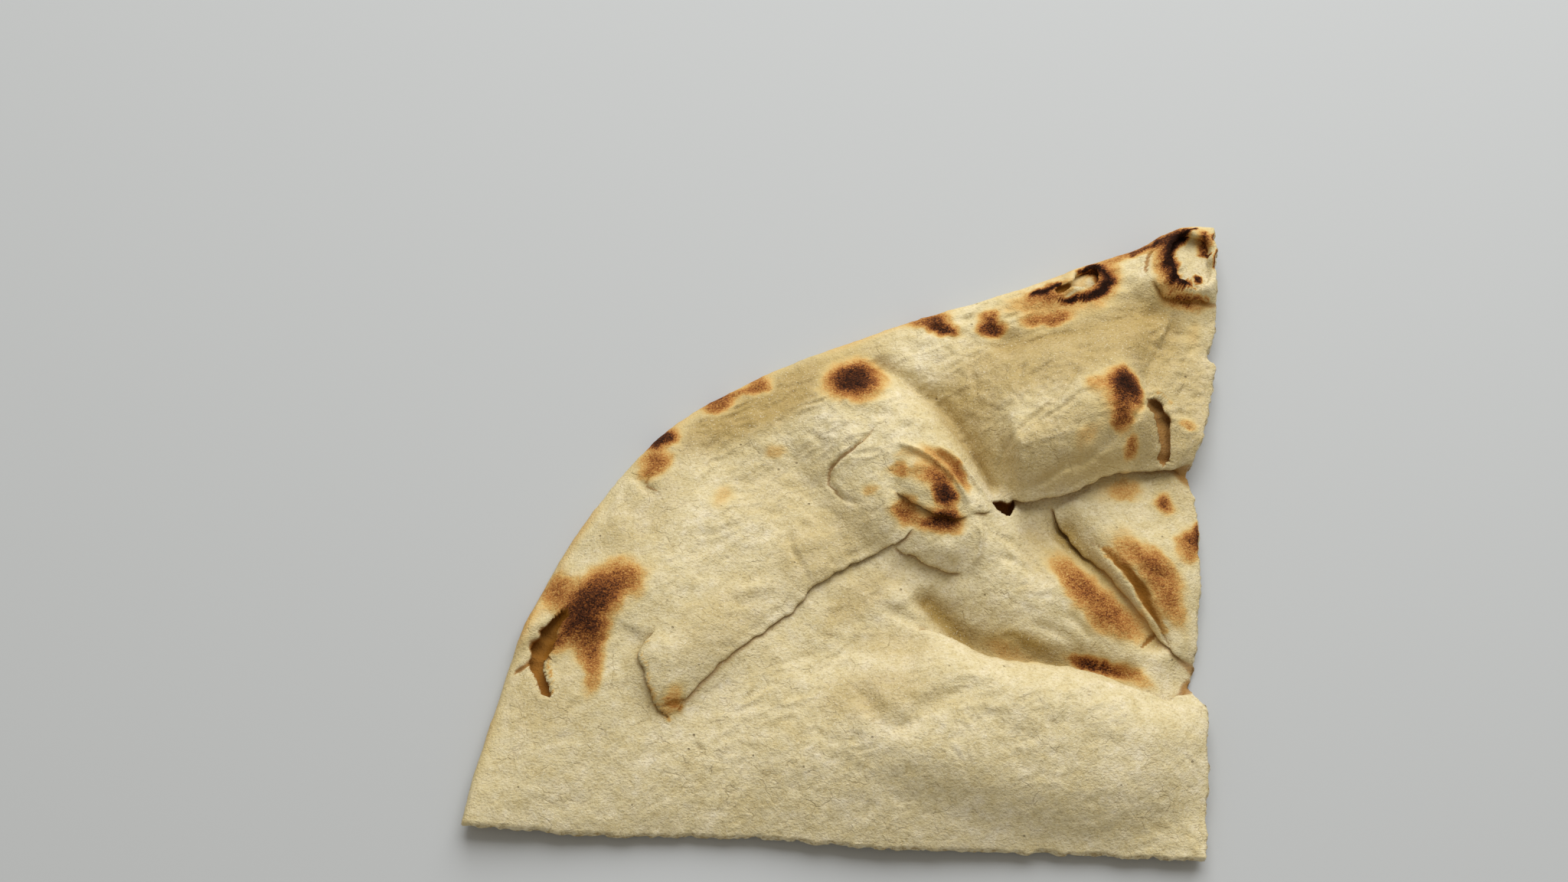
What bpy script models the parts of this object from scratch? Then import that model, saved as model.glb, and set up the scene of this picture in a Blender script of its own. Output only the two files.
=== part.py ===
"""One quarter of a large tandoori roti, cut by hand and lying flat, blistered side up.

The bread is one solid. Its outline, domes, valleys, laps, slits and burst
blisters are set out below in millimetres, seen from above: X to the right, Y
away from the tip of the quarter's front edge, Z up. Three square patches of
grid cover the quarter, the relief is pressed into them, and a side wall and
an underside close the body.
"""

import bmesh
import bpy
import numpy as np

MM = 0.001

# The bread: sizes in millimetres
CELLS = 62  # grid cells along half of each side
EDGE = 2.6  # thickness of the bread at its edge
LOFT = 4.6  # how much the middle stands higher than the edge
LOFT_REACH = 10.0  # distance from each side over which it rises
THICKEN = 0.50  # growth of the thickness for each millimetre inwards
RIM_ROUND = 2.2  # width of the rolled rim's round shoulder
RIM_DROP = 1.3  # fall of that shoulder
TRIANGLES = 11800  # what the finished body is reduced to

# Corners and middle of the quarter
TIP = (65.6, -63.6)
TOP_CORNER = (75.4, 64.0)
LEFT_CORNER = (-71.8, -57.2)
CENTRE = (14.0, -6.0)

# The three sides, anticlockwise. The rim is the bread's own round edge, and
# the two others are cuts, which step in where a fold meets them.
RIGHT_CUT = [
    TIP, (66.6, -50.0), (67.4, -37.2), (66.0, -33.8), (64.6, -31.0), (65.9, -27.0),
    (67.2, -17.0), (68.5, -2.0), (67.5, 8.5), (66.4, 11.3), (68.8, 15.4), (71.4, 23.8),
    (73.7, 33.6), (72.4, 36.0), (73.9, 40.0), (74.9, 52.0), TOP_CORNER,
]
RIM = [
    TOP_CORNER, (71.0, 64.2), (65.5, 62.7), (60.6, 59.9), (54.3, 57.8), (46.4, 55.3),
    (30.6, 49.7), (11.9, 43.7), (-8.2, 36.3), (-23.4, 28.6), (-35.9, 20.0), (-47.2, 6.9),
    (-55.7, -6.4), (-62.5, -21.7), (-66.6, -35.8), (-69.9, -48.0), LEFT_CORNER,
]
FRONT_CUT = [LEFT_CORNER, (-50.0, -58.8), (-20.0, -59.4), (10.0, -61.6), (40.0, -62.4), TIP]

# Domes where steam lifted the crust: middle, half length, half width, angle of
# the long axis in degrees, height
DOMES = [
    # middle, half length, half width, angle, height
    ((46.5, 22.5), 27.0, 17.0, 40.0, 5.0),
    ((12.5, 13.0), 24.0, 14.0, -38.0, 3.2),
    ((24.0, -43.0), 54.0, 21.0, -3.0, 3.4),
    ((57.5, -6.0), 24.0, 12.0, -68.0, 2.4),
    ((36.0, -12.0), 24.0, 16.0, -48.0, 2.2),
    ((-36.0, -14.0), 46.0, 22.0, 55.0, 3.0),
    ((-48.5, -16.5), 12.0, 7.5, 48.0, 1.8),
    ((58.0, 50.0), 22.0, 11.0, 20.0, 1.6),
    ((46.5, 51.0), 9.0, 4.5, 22.0, 1.5),
    ((-61.4, -19.6), 9.0, 3.4, 64.0, 2.2),
    ((-6.0, 24.0), 26.0, 12.0, 24.0, 1.5),
    ((-28.0, -26.0), 15.0, 9.0, 48.0, 1.2),
    ((57.4, 17.4), 6.6, 3.4, 80.0, 1.5),
    ((70.5, 52.5), 11.0, 9.0, 80.0, 1.6),
    ((17.5, -2.6), 8.0, 6.0, -30.0, 1.2),
]

# Where the sheet curls up from the table: middle, reach, height
CURLS = [
    ((80.0, 70.0), 34.0, 4.0),
    ((-78.0, -56.0), 30.0, 2.6),
    ((-40.0, 24.0), 26.0, 1.6),
    ((72.0, 10.0), 20.0, 2.0),
    ((70.0, -70.0), 26.0, 1.4),
    ((5.0, -68.0), 24.0, 1.8),
    ((18.0, 50.0), 18.0, 1.0),
]

# Bulges that end at folds. Each has lines with the bulge on their left and the
# reach of the slope that rises from them, then its height, and the middle,
# half length, half width and angle of the ellipse it stays in
BULGES = [
    # the big dome, between the valley, the crevice and the tear at its right
    ([([(-4.0, 41.0), (9.0, 33.0), (14.5, 29.0), (19.5, 24.5), (23.4, 17.7), (27.0, 10.5), (30.5, 3.0),
        (33.0, -4.0)], 9.0),
      ([(20.0, 0.0), (30.0, 4.2), (35.0, 4.6), (42.0, 6.2), (49.5, 9.2), (58.5, 10.9), (76.0, 11.2)], 17.0),
      ([(64.0, 6.0), (62.5, 14.0), (61.0, 21.0), (58.5, 28.0), (62.0, 36.0)], 8.0)],
     4.6, (45.0, 22.0), 34.0, 22.0, 32.0),
    # the middle dome, this side of the valley
    ([([(31.5, -4.0), (29.6, 2.4), (27.0, 9.6), (23.6, 17.2), (19.6, 24.0), (14.6, 28.6), (2.0, 36.0)], 6.5)],
     3.2, (12.0, 12.0), 28.0, 19.0, -42.0),
    # the front layer's crest
    ([([(70.0, -31.0), (60.5, -35.0), (52.0, -32.0), (45.5, -29.8), (38.6, -28.6), (30.8, -28.0),
        (26.2, -26.8), (21.3, -24.5), (17.4, -22.6), (10.0, -20.0)], 10.0)],
     2.6, (34.0, -40.0), 42.0, 20.0, -8.0),
]

# Valleys: path, half width, depth
VALLEYS = [
    ([(4.0, 35.0), (9.5, 32.0), (14.5, 28.5), (19.5, 24.0), (23.4, 17.7), (27.2, 10.5), (30.5, 4.5)],
     3.0, 1.7),
    ([(12.6, -12.8), (15.3, -15.2), (18.7, -18.4), (21.6, -21.4), (27.0, -24.6),
      (36.0, -26.4), (46.0, -27.6), (56.0, -30.6)], 4.4, 2.9),
    ([(7.0, -9.0), (11.0, -12.0), (16.0, -16.4)], 3.6, 0.9),
    ([(5.6, -16.0), (9.4, -17.6), (12.4, -18.9), (16.4, -21.0)], 2.4, 0.9),
    ([(1.0, -31.6), (4.0, -36.3), (6.8, -39.6), (10.6, -40.2), (13.9, -37.4), (18.0, -35.0), (27.0, -32.6)],
     3.4, 1.0),
    ([(40.5, 3.0), (47.5, -7.5), (54.5, -16.5), (61.0, -25.5)], 4.0, 2.6),
    ([(33.0, 2.0), (38.0, -3.5), (46.0, -16.0)], 4.0, 0.9),
    ([(-30.0, 14.0), (-14.0, 8.0), (-12.0, -4.0)], 12.0, 0.8),
    ([(28.0, 37.5), (40.0, 38.7), (53.0, 40.5), (62.0, 44.5), (66.0, 42.0)], 6.0, 1.6),
    ([(66.6, 46.0), (65.4, 42.6), (66.5, 38.0)], 3.0, 1.0),
]

# Laps, where one layer lies over the next: path with the upper layer on its
# left, half width of the bend, drop of the lower layer, rise of the upper one
# and of its shoulder, overhang, how far the lower layer runs under, and the
# strength at even distances along the path
LAPS = [
    # the long lap across the middle, upper layer at the back left
    ([(-33.0, -38.2), (-30.0, -33.8), (-25.8, -29.6), (-22.0, -25.6), (-15.6, -21.0),
      (-10.7, -17.1), (-7.3, -12.8), (-3.2, -9.6), (3.1, -6.4), (7.9, -4.2), (10.7, -3.0), (13.6, -1.7)],
     5.0, 0.6, 1.8, 0.9, 0.7, 1.3, (0.35, 0.45, 0.5, 0.65, 1.0, 1.0, 0.5)),
    # the left side of the long lap's tongue
    ([(-36.4, -21.4), (-37.3, -23.8), (-39.2, -26.0), (-38.7, -27.6), (-37.7, -29.3), (-37.8, -30.8),
      (-36.9, -33.1), (-36.3, -34.7), (-35.6, -35.8), (-34.4, -37.3), (-33.1, -38.9)],
     2.6, 0.7, 0.9, 0.3, 0.5, 0.9, (0.7, 1.0, 0.8, 1.0, 0.6)),
    # the mouth in the middle dome
    ([(8.0, 5.3), (11.7, 4.1), (13.6, 2.9), (15.4, 1.7), (18.0, 0.7), (21.3, 0.1), (24.0, 0.1)],
     3.0, 1.1, 1.5, 0.5, 0.7, 1.0, (0.4, 0.9, 1.0, 1.0, 0.9, 0.4)),
    # the point of skin at the right of that mouth
    ([(23.4, 0.6), (25.6, 1.2), (28.0, 2.0)], 1.8, 0.8, 0.7, 0.2, 0.4, 0.7, (0.5, 1.0, 1.0)),
    # the lobe below that mouth
    ([(8.2, -4.6), (10.7, -5.4), (13.6, -6.7), (16.5, -8.1), (19.4, -9.3), (22.6, -10.4)],
     2.6, 0.9, 1.2, 0.3, 0.6, 0.9, (0.6, 1.0, 1.0, 1.0, 0.6)),
    # the big dome over the right flap, out to the cut
    ([(31.0, 4.4), (35.0, 5.0), (39.3, 6.1), (42.0, 6.7), (46.1, 8.1), (49.5, 9.7), (54.3, 10.9),
      (58.5, 11.4), (63.7, 11.8), (74.0, 11.6)],
     6.0, 1.7, 3.8, 2.1, 1.2, 1.8, (1.0, 1.0, 1.0, 0.8, 0.5)),
    # the right flap over the middle layer
    ([(39.2, 4.4), (41.7, 0.6), (44.4, -2.9), (47.4, -6.6), (50.6, -10.4), (54.2, -14.9),
      (57.8, -19.5), (61.2, -24.0), (72.0, -30.5)],
     3.4, 1.0, 1.4, 0.4, 0.5, 1.0, (1.0, 1.0, 0.5, 0.3, 0.3, 0.5, 0.8)),
    # the front layer over the valley behind it
    ([(76.0, -27.0), (65.0, -31.4), (60.5, -34.6), (55.8, -33.4), (52.0, -31.7), (45.5, -29.5),
      (38.6, -28.3), (30.8, -27.6), (26.2, -26.3), (21.3, -24.0), (17.4, -22.1), (12.5, -20.6)],
     4.0, 1.2, 1.9, 0.3, 0.9, 1.4, (0.9, 0.9, 0.7, 1.0, 1.0, 1.0, 0.6)),
    # the lower lip of the burst blister at the corner
    ([(61.4, 52.0), (63.3, 48.6), (66.9, 46.9), (76.0, 47.2)],
     2.2, 0.6, 0.8, 0.2, 0.4, 0.6, (0.3, 1.0, 1.0, 0.9)),
]
LAP_SKIN = 1.3  # thickness of an upper layer's lip
LAP_END = 3.5  # length over which a lap closes at its ends
FREE_FROM_EDGE = 4.0  # distance from the outline at which the sheet can fold freely
RAGGED_LIP = 0.32  # how far a lip wanders from its path
RAGGED_LENGTH = 1.7  # distance between such wanderings

# Slits torn in the crust: path, half width of the bend, half gap, depth,
# undercut, and how far it stands open at even distances along the path
SLITS = [
    # beside the scorched blister at the left
    ([(-53.2, -16.8), (-54.9, -18.8), (-56.6, -21.6), (-57.9, -24.0), (-59.1, -26.4), (-58.6, -28.9),
      (-57.4, -31.6), (-55.4, -34.6)],
     4.4, 1.6, 2.6, 0.7, (0.4, 0.7, 0.95, 0.9, 0.8, 0.6, 0.45, 0.15)),
    # at the right of the big dome
    ([(58.4, 23.8), (60.0, 22.6), (61.2, 20.6), (61.6, 18.4), (61.6, 16.2), (61.6, 13.9)],
     3.4, 1.6, 2.0, 0.6, (1.1, 1.3, 1.0, 0.7, 0.65, 0.9)),
]
SLIT_END = 1.5  # length over which a slit closes at its ends
TORN = 0.3  # how much a slit's width changes along it
TORN_LENGTH = 1.2  # distance between such changes

# Narrow tears that do not go through the skin: path, half widths along it, depth
GASHES = [
    # in the ridge of the right flap
    ([(47.8, -2.8), (50.6, -5.6), (53.6, -9.2), (56.2, -12.6), (58.3, -16.2), (60.1, -19.2), (62.4, -24.0)],
     (0.6, 0.7, 0.9, 1.2, 1.0, 0.7, 0.5), 1.2),
    # where its lower end has flaked
    ([(56.1, -23.6), (57.2, -22.2), (58.1, -21.2)], (0.6, 0.8, 0.6), 0.7),
    # the torn end of the blister at the left
    ([(-59.9, -26.6), (-61.4, -27.0), (-62.6, -28.4)], (0.7, 0.7, 0.8), 0.8),
]

# Burst blisters: middle, half length, half width, angle, depth, height of the lip
BURSTS = [
    ((69.9, 55.1), 6.4, 4.0, 88.0, 2.0, 0.9),
    ((49.0, 51.8), 2.7, 2.0, 60.0, 2.4, 0.6),
    ((43.9, 49.7), 1.3, 0.8, 15.0, 1.4, 0.1),
    ((30.6, 2.9), 2.5, 1.25, -28.0, 4.6, 0.0),
]
BURST_REACH = 3.0  # width of the bend outside an opening
BURST_UNDERCUT = 0.7
BURST_RAGGED = 0.16  # how far an opening's edge wanders, as a share of its radius

# Creases, short cracks and, with a negative depth, pinched folds: path, half
# width, depth
CREASES = [
    ([(-11.1, 0.5), (-10.8, -5.1), (-8.9, -8.4), (-7.3, -12.2)], 1.0, 0.6),
    ([(-19.9, -22.0), (-17.9, -16.8)], 1.0, 0.5),
    ([(-24.0, -15.0), (-18.0, -13.4), (-12.0, -12.6)], 2.4, -0.5),
    ([(6.0, 18.2), (3.2, 15.6), (0.5, 13.2), (-3.1, 10.6), (-3.4, 8.4), (-2.4, 6.4), (-0.2, 4.1), (4.0, 2.6)],
     0.7, 0.6),
    ([(-43.6, 11.6), (-40.4, 9.5), (-39.0, 7.3), (-36.0, 4.6)], 0.8, 0.8),
    ([(24.9, 1.0), (25.6, -2.0), (25.5, -4.6), (25.0, -7.3), (22.8, -9.8)], 0.9, -0.9),
    ([(48.8, 12.2), (51.6, 16.1), (55.0, 18.4)], 1.4, 0.9),
    ([(59.1, 23.5), (56.7, 20.8), (55.1, 18.0), (54.2, 15.7), (53.7, 13.4)], 0.7, 0.8),
    ([(58.0, 25.6), (61.4, 26.2), (64.4, 24.0)], 0.8, -0.6),
    # the sharp bottom of the valley between the domes
    ([(17.0, 22.6), (21.6, 18.2), (25.6, 13.0), (27.6, 9.0), (29.0, 5.6)], 0.9, 0.9),
    # the pinched folds of the middle dome
    ([(8.6, 15.0), (13.0, 13.2), (15.9, 11.4), (18.4, 9.4), (20.6, 6.9), (22.4, 4.0), (23.8, 1.4)],
     0.9, -1.2),
    ([(16.4, 14.6), (20.4, 12.0), (23.5, 9.0), (25.5, 6.2), (26.9, 3.0)], 0.9, -1.2),
    ([(15.0, 14.0), (19.0, 11.2), (21.8, 8.0), (24.2, 4.0)], 0.9, 0.8),
    ([(33.6, 18.8), (30.6, 13.4), (28.6, 9.4)], 1.4, 0.7),
    # the lifted strip beside the slit in the right flap
    ([(46.4, -3.0), (49.0, -6.6), (52.0, -10.6), (55.6, -15.6), (59.4, -21.4)], 1.3, -0.7),
    # soft folds on the middle layer
    ([(27.0, -1.6), (32.0, -4.6), (36.0, -8.6), (39.0, -14.0)], 1.6, 0.5),
    ([(28.0, -7.0), (33.0, -8.6), (36.4, -12.6)], 1.6, 0.5),
    ([(38.6, 0.4), (42.4, -4.2), (45.4, -8.8), (48.6, -12.6)], 1.0, 0.6),
    ([(40.0, -17.0), (44.0, -20.0), (47.6, -23.6)], 1.4, 0.7),
    ([(33.0, -19.6), (39.0, -21.0), (44.0, -23.8)], 1.4, 0.5),
    # short cracks along the rim side
    ([(57.6, 57.0), (56.6, 55.0), (56.6, 52.6)], 0.7, 0.7),
    ([(28.0, 38.0), (34.0, 37.6), (41.0, 39.2), (48.0, 39.4)], 1.2, 0.6),
]

# Unevenness of the whole surface: distance between swells, height, seed. It
# is less on the front layer, by the share CALM
SWELLS = [(26.0, 0.6, 11), (12.0, 0.55, 12), (6.5, 0.4, 13)]
CALM = 0.5
CALM_FROM = -22.0  # where the front layer begins
CALM_FADE = 16.0
SWELL_EDGE = 6.0  # distance from the edge over which swells begin

# The side wall: (share of the way down, how far it stands out)
WALL = [(0.30, 0.22), (0.70, 0.16), (1.0, -0.35)]
UNDERSIDE_RINGS = [0.985, 0.96, 0.925, 0.88, 0.82, 0.74, 0.64, 0.50, 0.30]

# Baked crust: linear colour, roughness
CRUST_COLOUR = (0.60, 0.49, 0.27, 1.0)
CRUST_ROUGHNESS = 0.85


# Curves and distances

def curve(points, spacing=0.5):
    """Smooth (Catmull-Rom) curve through the points, read at even distances."""
    knots = np.array(points, float)
    knots = np.vstack([2 * knots[0] - knots[1], knots, 2 * knots[-1] - knots[-2]])
    t = np.linspace(0, 1, 12, endpoint=False)[:, None]
    runs = []
    for a, b, c, d in zip(knots[:-3], knots[1:-2], knots[2:-1], knots[3:]):
        cubic = 2 * b + (c - a) * t + (2 * a - 5 * b + 4 * c - d) * t**2 + (3 * b - a - 3 * c + d) * t**3
        runs.append(cubic / 2)
    dense = np.vstack(runs + [knots[-2][None]])
    travel = np.r_[0, np.cumsum(np.linalg.norm(np.diff(dense, axis=0), axis=1))]
    even = np.linspace(0, travel[-1], max(5, int(travel[-1] / spacing)))
    return np.column_stack([np.interp(even, travel, column) for column in dense.T])


def length_of(path):
    return np.linalg.norm(np.diff(path, axis=0), axis=1).sum()


def from_path(spots, path):
    """Signed distance to the path (left is positive), share along it, and the left-hand normal there."""
    runs = np.diff(path, axis=0)
    lengths = np.linalg.norm(runs, axis=1)
    lefts = np.column_stack([-runs[:, 1], runs[:, 0]]) / lengths[:, None]
    corner_lefts = np.vstack([lefts[:1], lefts[:-1] + lefts[1:], lefts[-1:]])
    corner_lefts /= np.linalg.norm(corner_lefts, axis=1)[:, None]
    travel = np.r_[0, np.cumsum(lengths)]
    nearest = np.full(len(spots), np.inf)
    signed, share, normal = np.zeros(len(spots)), np.zeros(len(spots)), np.zeros((len(spots), 2))
    for i, run in enumerate(runs):
        offset = spots - path[i]
        t = np.clip(offset @ run / lengths[i] ** 2, 0, 1)
        away = offset - t[:, None] * run
        distance = np.hypot(away[:, 0], away[:, 1])
        closer = distance < nearest
        nearest[closer] = distance[closer]
        blended = (1 - t[closer, None]) * corner_lefts[i] + t[closer, None] * corner_lefts[i + 1]
        normal[closer] = blended
        signed[closer] = np.sign((away[closer] * blended).sum(1)) * distance[closer]
        share[closer] = (travel[i] + t[closer] * lengths[i]) / travel[-1]
    return signed, share, normal


def ease(x):
    """Smooth step from 0 to 1 as x goes from 0 to 1."""
    x = np.clip(x, 0, 1)
    return x * x * (3 - 2 * x)


def turned(spots, middle, angle):
    """Spots seen from the middle, along and across an axis at the angle in degrees."""
    cos, sin = np.cos(np.radians(angle)), np.sin(np.radians(angle))
    x, y = (spots - middle).T
    return x * cos + y * sin, y * cos - x * sin


def swell(spots, spacing, seed):
    """Smooth unevenness between -1 and 1: random heights on a lattice, eased in between."""
    heights = np.random.default_rng(seed).uniform(-1, 1, (64, 64))
    cell = np.floor(spots / spacing).astype(int)
    x, y = ease(spots / spacing - cell).T
    i, j = cell.T % 64
    k, m = (i + 1) % 64, (j + 1) % 64
    near = heights[i, j] * (1 - x) + heights[k, j] * x
    far = heights[i, m] * (1 - x) + heights[k, m] * x
    return near * (1 - y) + far * y


# The grid over the quarter

def read_side(side, start, end, count):
    """Evenly spaced spots on the stretch of a side between two shares of its length."""
    travel = np.r_[0, np.cumsum(np.linalg.norm(np.diff(side, axis=0), axis=1))]
    at = np.linspace(start, end, count + 1) * travel[-1]
    return np.column_stack([np.interp(at, travel, column) for column in side.T])


def patch(near, left, right, far):
    """Grid between four edge lines (a Coons patch): two opposite pairs blended, less the corners."""
    u = np.linspace(0, 1, len(near))[:, None, None]
    v = np.linspace(0, 1, len(left))[None, :, None]
    across = (1 - v) * near[:, None] + v * far[:, None]
    along = (1 - u) * left[None] + u * right[None]
    corners = (1 - v) * ((1 - u) * near[0] + u * near[-1]) + v * ((1 - u) * far[0] + u * far[-1])
    return across + along - corners


def quarter_grid(sides, centre, cells):
    """Flat grid: a patch at each corner, meeting at the centre, with shared numbers on the seams."""
    size = 3 * cells * (cells + 1)
    spots = np.zeros((size + 1, 2))
    spots[size] = centre
    quads, loop = [], []
    for k in range(3):
        near = read_side(sides[k], 0, 0.5, cells)
        left = read_side(sides[k - 1], 1, 0.5, cells)
        right = np.linspace(near[-1], centre, cells + 1)
        far = np.linspace(left[-1], centre, cells + 1)
        number = np.full((cells + 1, cells + 1), size)
        own = np.arange(cells * (cells + 1)).reshape(cells + 1, cells)
        number[:, :cells] = k * own.size + own
        number[:cells, cells] = (k - 1) % 3 * own.size + own[cells]
        spots[number[:, :cells]] = patch(near, left, right, far)[:, :cells]
        cells_of = [number[:-1, :-1], number[1:, :-1], number[1:, 1:], number[:-1, 1:]]
        quads.append(np.stack([c.ravel() for c in cells_of], axis=1))
        loop += [number[0, :0:-1], number[:-1, 0]]
    return spots, np.vstack(quads), np.concatenate(loop)


# Cross-sections of the folds. Each gives, for every distance s from the path
# in the flat sheet, where that point of the sheet goes: a across, z up.

def section(nodes, focus, weight=2.2):
    """Round curve through the nodes, shared out evenly over s, with more of s on the steep part near a = 0."""
    dense = curve(nodes, spacing=0.05)
    middle = (dense[1:] + dense[:-1]) / 2
    dear = np.where(np.abs(middle[:, 0]) < focus, weight, 1.0)
    travel = np.r_[0, np.cumsum(np.linalg.norm(np.diff(dense, axis=0), axis=1) * dear)]
    s = dense[0, 0] + travel / travel[-1] * (dense[-1, 0] - dense[0, 0])
    return s, dense[:, 0], dense[:, 1]


def lap_section(reach, drop, rise, shoulder, lap, under):
    """The lower layer runs under, turns back and comes out as the upper lip, which climbs to a shoulder."""
    low, lip = -drop, rise - shoulder
    skin = min(LAP_SKIN, 0.7 * (lip - low))
    return section(
        [(-reach, low), (-lap - 0.8, low), (0.5 * under, low), (under, low + 0.1), (0.5 * under, low + 0.3),
         (0.6 - lap, lip - skin), (-lap, lip - 0.5 * skin), (0.4 - lap, lip - 0.1),
         (1.5 - lap, lip + 0.25 * shoulder), (0.45 * reach, lip + 0.78 * shoulder), (reach, rise)],
        focus=lap + 1.6)


def slit_section(reach, gap, depth, under):
    """A floor, an undercut wall on each side, and lips that stand a gap apart."""
    wall = [(gap + under, -depth), (gap + under, -0.6 * depth), (gap, -0.4)]
    side = wall + [(gap + 0.2, 0.15), (gap + 1.2, 0.3)]
    nodes = [(-a, z) for a, z in side[::-1]] + [(0, -depth)] + side
    return section([(-reach, 0)] + nodes + [(reach, 0)], focus=gap + under + 0.3)


def burst_section(floor, under, depth, lip):
    """The floor of an opening runs under its edge and comes up as a lip, which dies away outwards."""
    return section(
        [(-floor, -depth), (-0.4 * floor, -depth), (under, -0.93 * depth), (under, -0.6 * depth),
         (0.0, lip - 0.5), (0.2, lip), (1.2, 0.8 * lip), (BURST_REACH, 0)],
        focus=under + 0.6)


def around(spots, route, reach):
    """Numbers of the spots that a fold along the route can touch."""
    low, high = route.min(axis=0) - reach, route.max(axis=0) + reach
    return np.flatnonzero(((spots > low) & (spots < high)).all(axis=1))


def hold(spots, outline):
    """Share of a sideways shift that is allowed: none on the outline, so that the outline keeps its form."""
    return ease(np.abs(from_path(spots, outline)[0]) / FREE_FROM_EDGE)


def ragged(spots, route, seed):
    """Distance to the route with some wandering along it, the length travelled, and the normal."""
    signed, share, left = from_path(spots, route)
    travelled = share * length_of(route)
    wander = swell(np.column_stack([travelled, 0 * travelled]), RAGGED_LENGTH, seed)
    return signed + RAGGED_LIP * wander, travelled, left


def strength_along(travelled, length, strengths, end=LAP_END):
    """The strengths read at the distance travelled, eased to none at both ends."""
    ends = ease(travelled / end) * ease((length - travelled) / end)
    return ends * np.interp(travelled / length, np.linspace(0, 1, len(strengths)), strengths)


def press_lap(spots, height, outline, path, reach, drop, rise, shoulder, lap, under, strengths):
    """Fold a lap into the sheet. Its step fades away over some distance on both sides."""
    route = curve(path)
    near = around(spots, route, 4 * reach)
    signed, travelled, left = ragged(spots[near], route, int(100 + 10 * reach))
    s, a, z = lap_section(reach, drop, rise, shoulder, lap, under)
    strength = strength_along(travelled, length_of(route), strengths)
    beyond = np.clip(np.abs(signed) - reach, 0, None)
    shift = (np.interp(signed, s, a) - signed) * (beyond == 0) * np.sqrt(strength) * hold(spots[near], outline)
    height[near] += np.interp(signed, s, z) * np.exp(-(beyond / (1.6 * reach)) ** 2) * strength
    spots[near] += left * shift[:, None]


def press_slit(spots, height, outline, path, reach, gap, depth, under, strengths):
    """Tear a slit into the sheet. Its whole section shrinks where it is narrow."""
    route = curve(path)
    near = around(spots, route, reach)
    signed, travelled, left = ragged(spots[near], route, int(200 + 10 * depth))
    s, a, z = slit_section(reach, gap, depth, under)
    torn = 1 + TORN * swell(np.column_stack([travelled, 0 * travelled]), TORN_LENGTH, int(220 + 10 * depth))
    narrow = np.clip(torn * strength_along(travelled, length_of(route), strengths, SLIT_END), 0.02, None)
    scaled = signed / narrow
    within = np.abs(scaled) < reach
    shift = (narrow * np.interp(scaled, s, a) - signed) * within * hold(spots[near], outline)
    height[near] += np.interp(scaled, s, z) * within * np.sqrt(narrow)
    spots[near] += left * shift[:, None]


def press_gash(spots, height, path, half_widths, depth):
    """Press a round-bottomed groove into the sheet."""
    signed, share, _ = from_path(spots, curve(path))
    half_width = np.interp(share, np.linspace(0, 1, len(half_widths)), half_widths)
    height -= depth * np.clip(1 - (signed / half_width) ** 2, 0, 1)


def press_burst(spots, height, outline, middle, half_length, half_width, angle, depth, lip):
    """Open a burst blister: an ellipse of floor with an undercut, ragged wall and a raised lip."""
    along, across = turned(spots, middle, angle)
    far = np.hypot(along, across) + 1e-9
    radius = 1 / np.hypot(along / far / half_length, across / far / half_width)
    ring = np.column_stack([along, across]) / far[:, None] * 3.0 + 10.0
    radius *= 1 + BURST_RAGGED * swell(ring, 1.2, int(300 + 10 * lip))
    floor = 0.9 * half_width
    s, a, z = burst_section(floor, min(BURST_UNDERCUT, 0.4 * half_width), depth, lip)
    signed = far - radius
    height += np.interp(signed, s, z) * (signed < BURST_REACH)
    near = np.flatnonzero((signed < BURST_REACH) & (signed > -floor))
    shift = (np.interp(signed, s, a) - signed)[near] * hold(spots[near], outline) / far[near]
    spots[near] += (spots[near] - middle) * shift[:, None]


# The broad form

def bulge_over(spots, lines, middle, half_length, half_width, angle):
    """Share of a bulge's height: none at its ellipse's rim and on the lines, eased to all of it inside."""
    along, across = turned(spots, middle, angle)
    share = ease(1.3 * np.clip(1 - (along / half_length) ** 2 - (across / half_width) ** 2, 0, 1))
    for line, reach in lines:
        signed = from_path(spots, curve(line, spacing=1.0))[0]
        share *= np.sin(np.pi / 2 * np.clip(signed / reach, 0, 1))
    return share


def broad_height(spots, sides):
    """Height of the sheet's top without its laps and tears, and the distance from its edge."""
    from_sides = [np.abs(from_path(spots, side)[0]) for side in sides]
    from_edge, from_rim = np.min(from_sides, axis=0), from_sides[1]
    height = EDGE + LOFT * np.prod([1 - np.exp(-distance / LOFT_REACH) for distance in from_sides], axis=0)
    height -= RIM_DROP * (1 - np.sqrt(1 - (1 - np.clip(from_rim / RIM_ROUND, 0, 1)) ** 2))
    for middle, half_length, half_width, angle, rise in DOMES:
        along, across = turned(spots, middle, angle)
        height += rise * np.clip(1 - (along / half_length) ** 2 - (across / half_width) ** 2, 0, 1) ** 2
    for lines, rise, *ellipse in BULGES:
        height += rise * bulge_over(spots, lines, *ellipse)
    for middle, reach, rise in CURLS:
        height += rise * np.exp(-((spots - middle) ** 2).sum(1) / reach**2)
    for path, half_width, depth in VALLEYS + CREASES:
        route = curve(path, spacing=1.0)
        signed, share, _ = from_path(spots, route)
        ends = ease(share * length_of(route) / 4.0) * ease((1 - share) * length_of(route) / 4.0)
        height -= depth * ends * np.exp(-(signed / (0.6 * half_width)) ** 2)
    calm = 1 - CALM * ease((CALM_FROM - spots[:, 1]) / CALM_FADE)
    for spacing, rise, seed in SWELLS:
        height += rise * swell(spots, spacing, seed) * ease(from_edge / SWELL_EDGE) * calm
    return height, from_edge


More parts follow.
